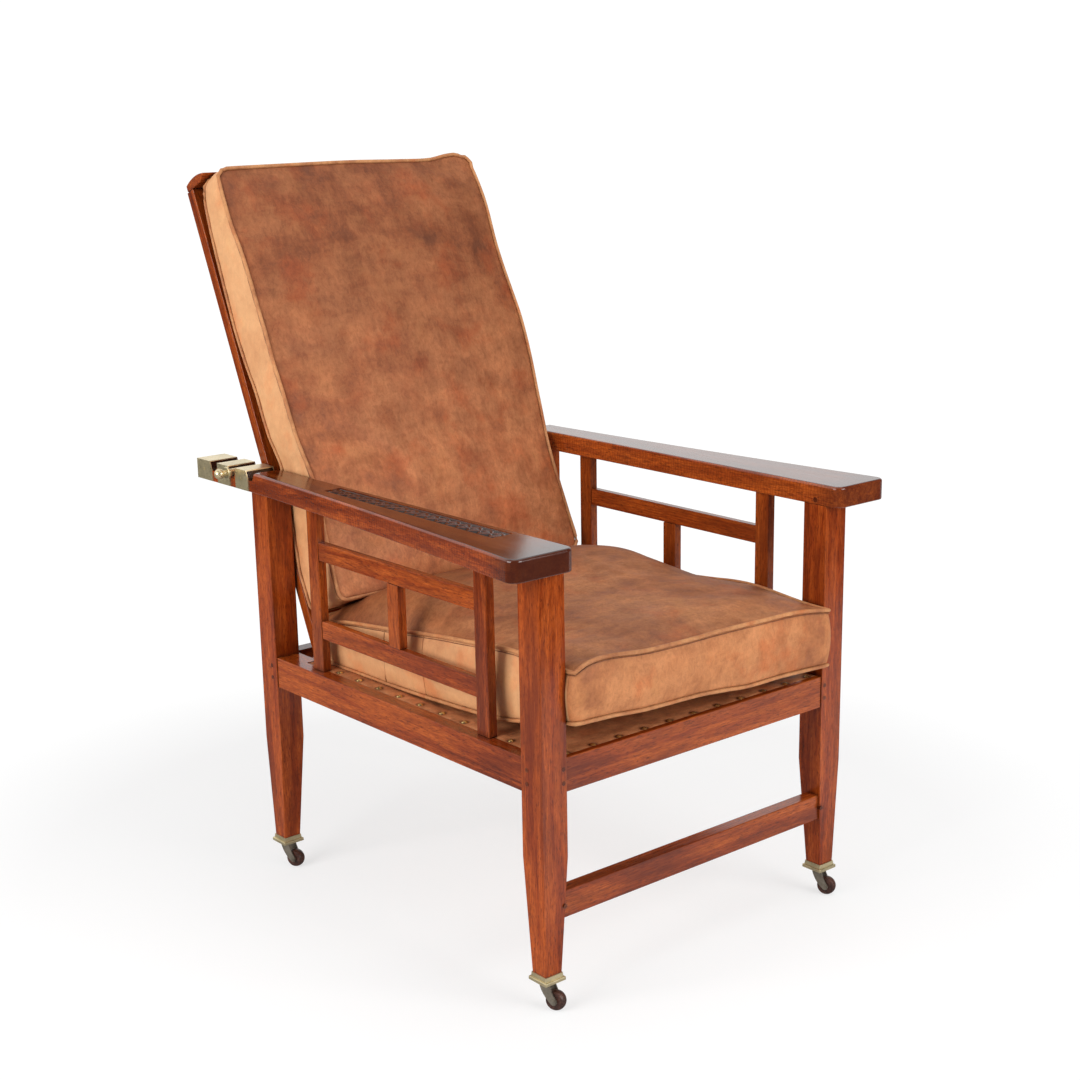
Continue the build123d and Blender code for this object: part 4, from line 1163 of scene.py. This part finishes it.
def make_deck():
    """The nailed leather, cut round the front legs, with folds that run in from its nails."""
    low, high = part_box("seat_deck")
    leg_x = leg_low.x - deck_gap
    leg_y = leg_high.y + deck_gap
    columns = split(low.x, -leg_x) + split(-leg_x, leg_x)[1:] + split(leg_x, high.x)[1:]
    rows = split(low.y, leg_y) + split(leg_y, high.y)[1:]
    centres = nail_centres(high.z)
    index = {}
    vertices = []
    faces = []
    ring_shades = []

    def corner(i, j):
        if (i, j) not in index:
            spot = Vector((columns[i], rows[j]))
            nearest = min((centre - spot).length for centre in centres)
            edge = min(spot.x - low.x, high.x - spot.x, spot.y - low.y, high.y - spot.y)
            index[(i, j)] = len(vertices)
            vertices.append((spot.x, spot.y, high.z + deck_height(spot, edge, nearest)))
            # Painted shade: dark close to the nails
            ring_shades.append(1 - smooth(nearest, ring_shade_inner, ring_shade_outer))
        return index[(i, j)]

    for i in range(len(columns) - 1):
        for j in range(len(rows) - 1):
            middle = (columns[i] + columns[i + 1]) / 2
            if abs(middle) > leg_x and rows[j + 1] <= leg_y + hair:
                continue
            faces.append([corner(i, j), corner(i + 1, j), corner(i + 1, j + 1), corner(i, j + 1)])
    piece = make_object("seat_deck_leather", vertices, faces, materials["leather_deck"])
    piece.data.attributes.new("nail_shade_ring", "FLOAT", "POINT").data.foreach_set("value", ring_shades)
    solid = piece.modifiers.new("thickness", "SOLIDIFY")
    solid.thickness = deck_thick
    solid.offset = -1
    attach(piece, "frame")
    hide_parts("seat_deck")


# Floor: its extents in metres, its greys, and where what the polish mirrors of it turns dark
floor_x = (-1.38, 5)
floor_y = (front_y - 1.1, 7)
floor_rough = 0.9
floor_polish = 0.1
floor_grey = (0.9, 0.9, 0.9)
floor_near_grey = (0.95, 0.95, 0.95)
floor_far_grey = (0.42, 0.42, 0.42)
floor_seen_grey = (0.94, 0.94, 0.94)
mirrored_y = (front_y - 0.22, front_y - 0.04)
white_distance = (0.75, 1.2)
white_share = (0.62, 1)
white_glow = 1.05
white = (1, 1, 1)


def make_stage():
    """A finite pale floor: its reflection stops part of the way up the legs, as in the photo."""
    west, east = floor_x
    near, far = floor_y
    mesh = bpy.data.meshes.new("floor")
    mesh.from_pydata([(west, near, 0), (east, near, 0), (east, far, 0), (west, far, 0)], [], [(0, 1, 2, 3)])
    floor = bpy.data.objects.new("floor", mesh)
    bpy.context.scene.collection.objects.link(floor)
    material, tree, shader = new_material("floor")
    path = add(tree, "LightPath")
    place = add(tree, "TexCoord")["Object"]
    along = separated(tree, place)["Y"]
    mirrored = mix(tree, spread(tree, along, *mirrored_y), floor_near_grey, floor_far_grey)
    colour = mix(tree, path["Is Glossy Ray"], floor_grey, mirrored)
    colour = mix(tree, path["Is Camera Ray"], colour, floor_seen_grey)
    feed(shader, {"Base Color": colour, "Roughness": floor_rough, "Specular IOR Level": floor_polish})
    distance = add(tree, "VectorMath", {0: place}, operation="LENGTH")["Value"]
    away = spread(tree, distance, *white_distance, *white_share)
    glow = add(tree, "Emission", {"Color": white, "Strength": white_glow})["Emission"]
    surfaces = {0: scaled(tree, away, path["Is Camera Ray"]), 1: shader.outputs["BSDF"], 2: glow}
    feed(tree.nodes["Material Output"], {"Surface": add(tree, "MixShader", surfaces)["Shader"]})
    mesh.materials.append(material)


# World: its strength for the camera, for diffuse light and, from low to high, in the polish
seen_strength = 1.05
diffuse_strength = 0.34
polish_strength = (0.07, 1.15)
behind_range = (0.0, 0.5)
above_range = (-0.05, 0.1)


def make_world():
    """White for the camera; the polish mirrors white behind and above the chair, and a dim room elsewhere."""
    world = bpy.data.worlds.new("studio")
    world.use_nodes = True
    bpy.context.scene.world = world
    tree = world.node_tree
    path = add(tree, "LightPath")
    seen = maths(tree, "MAXIMUM", path["Is Camera Ray"], path["Is Transmission Ray"])
    place = separated(tree, add(tree, "TexCoord")["Generated"])
    behind = spread(tree, place["Y"], *behind_range)
    above = spread(tree, place["Z"], *above_range)
    backdrop = spread(tree, scaled(tree, behind, above), 0, 1, *polish_strength)
    glossy = path["Is Glossy Ray"]
    diffuse = scaled(tree, maths(tree, "SUBTRACT", 1.0, glossy), diffuse_strength)
    other = maths(tree, "ADD", scaled(tree, backdrop, glossy), diffuse)
    strength = maths(tree, "MAXIMUM", scaled(tree, seen, seen_strength), other)
    feed(tree.nodes["Background"], {"Color": white, "Strength": strength})


# Lights: name, place, target, size and power
lights = [
    ("side", (-3, 0, 1.5), (0, 0, 0.5), (2, 2), 74),
    ("front", (0.7, -3, 1.5), (0, 0, 0.5), (1.8, 1.8), 58),
    ("top", (0.4, -0.3, 3.2), (0, 0, 0.4), (2.4, 2.4), 24),
]


def area_light(name, place, target, size, power):
    data = bpy.data.lights.new(name, "AREA")
    data.shape = "RECTANGLE"
    data.size, data.size_y = size
    data.energy = power
    light = bpy.data.objects.new(name, data)
    light.location = place
    light.rotation_mode = "QUATERNION"
    light.rotation_quaternion = (Vector(target) - Vector(place)).to_track_quat("-Z", "Y")
    bpy.context.scene.collection.objects.link(light)


make_camera()
make_world()
for light in lights:
    area_light(*light)
make_stage()
dress_nodes()
seat_parts = make_cushion(seat_cushion)
back_parts = make_cushion(back_cushion)

# Each cushion part gets a mesh of its own
for part in back_parts:
    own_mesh(part)
for part in seat_parts:
    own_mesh(part)
make_carving()
make_deck()

bpy.context.scene.view_settings.view_transform = "Standard"
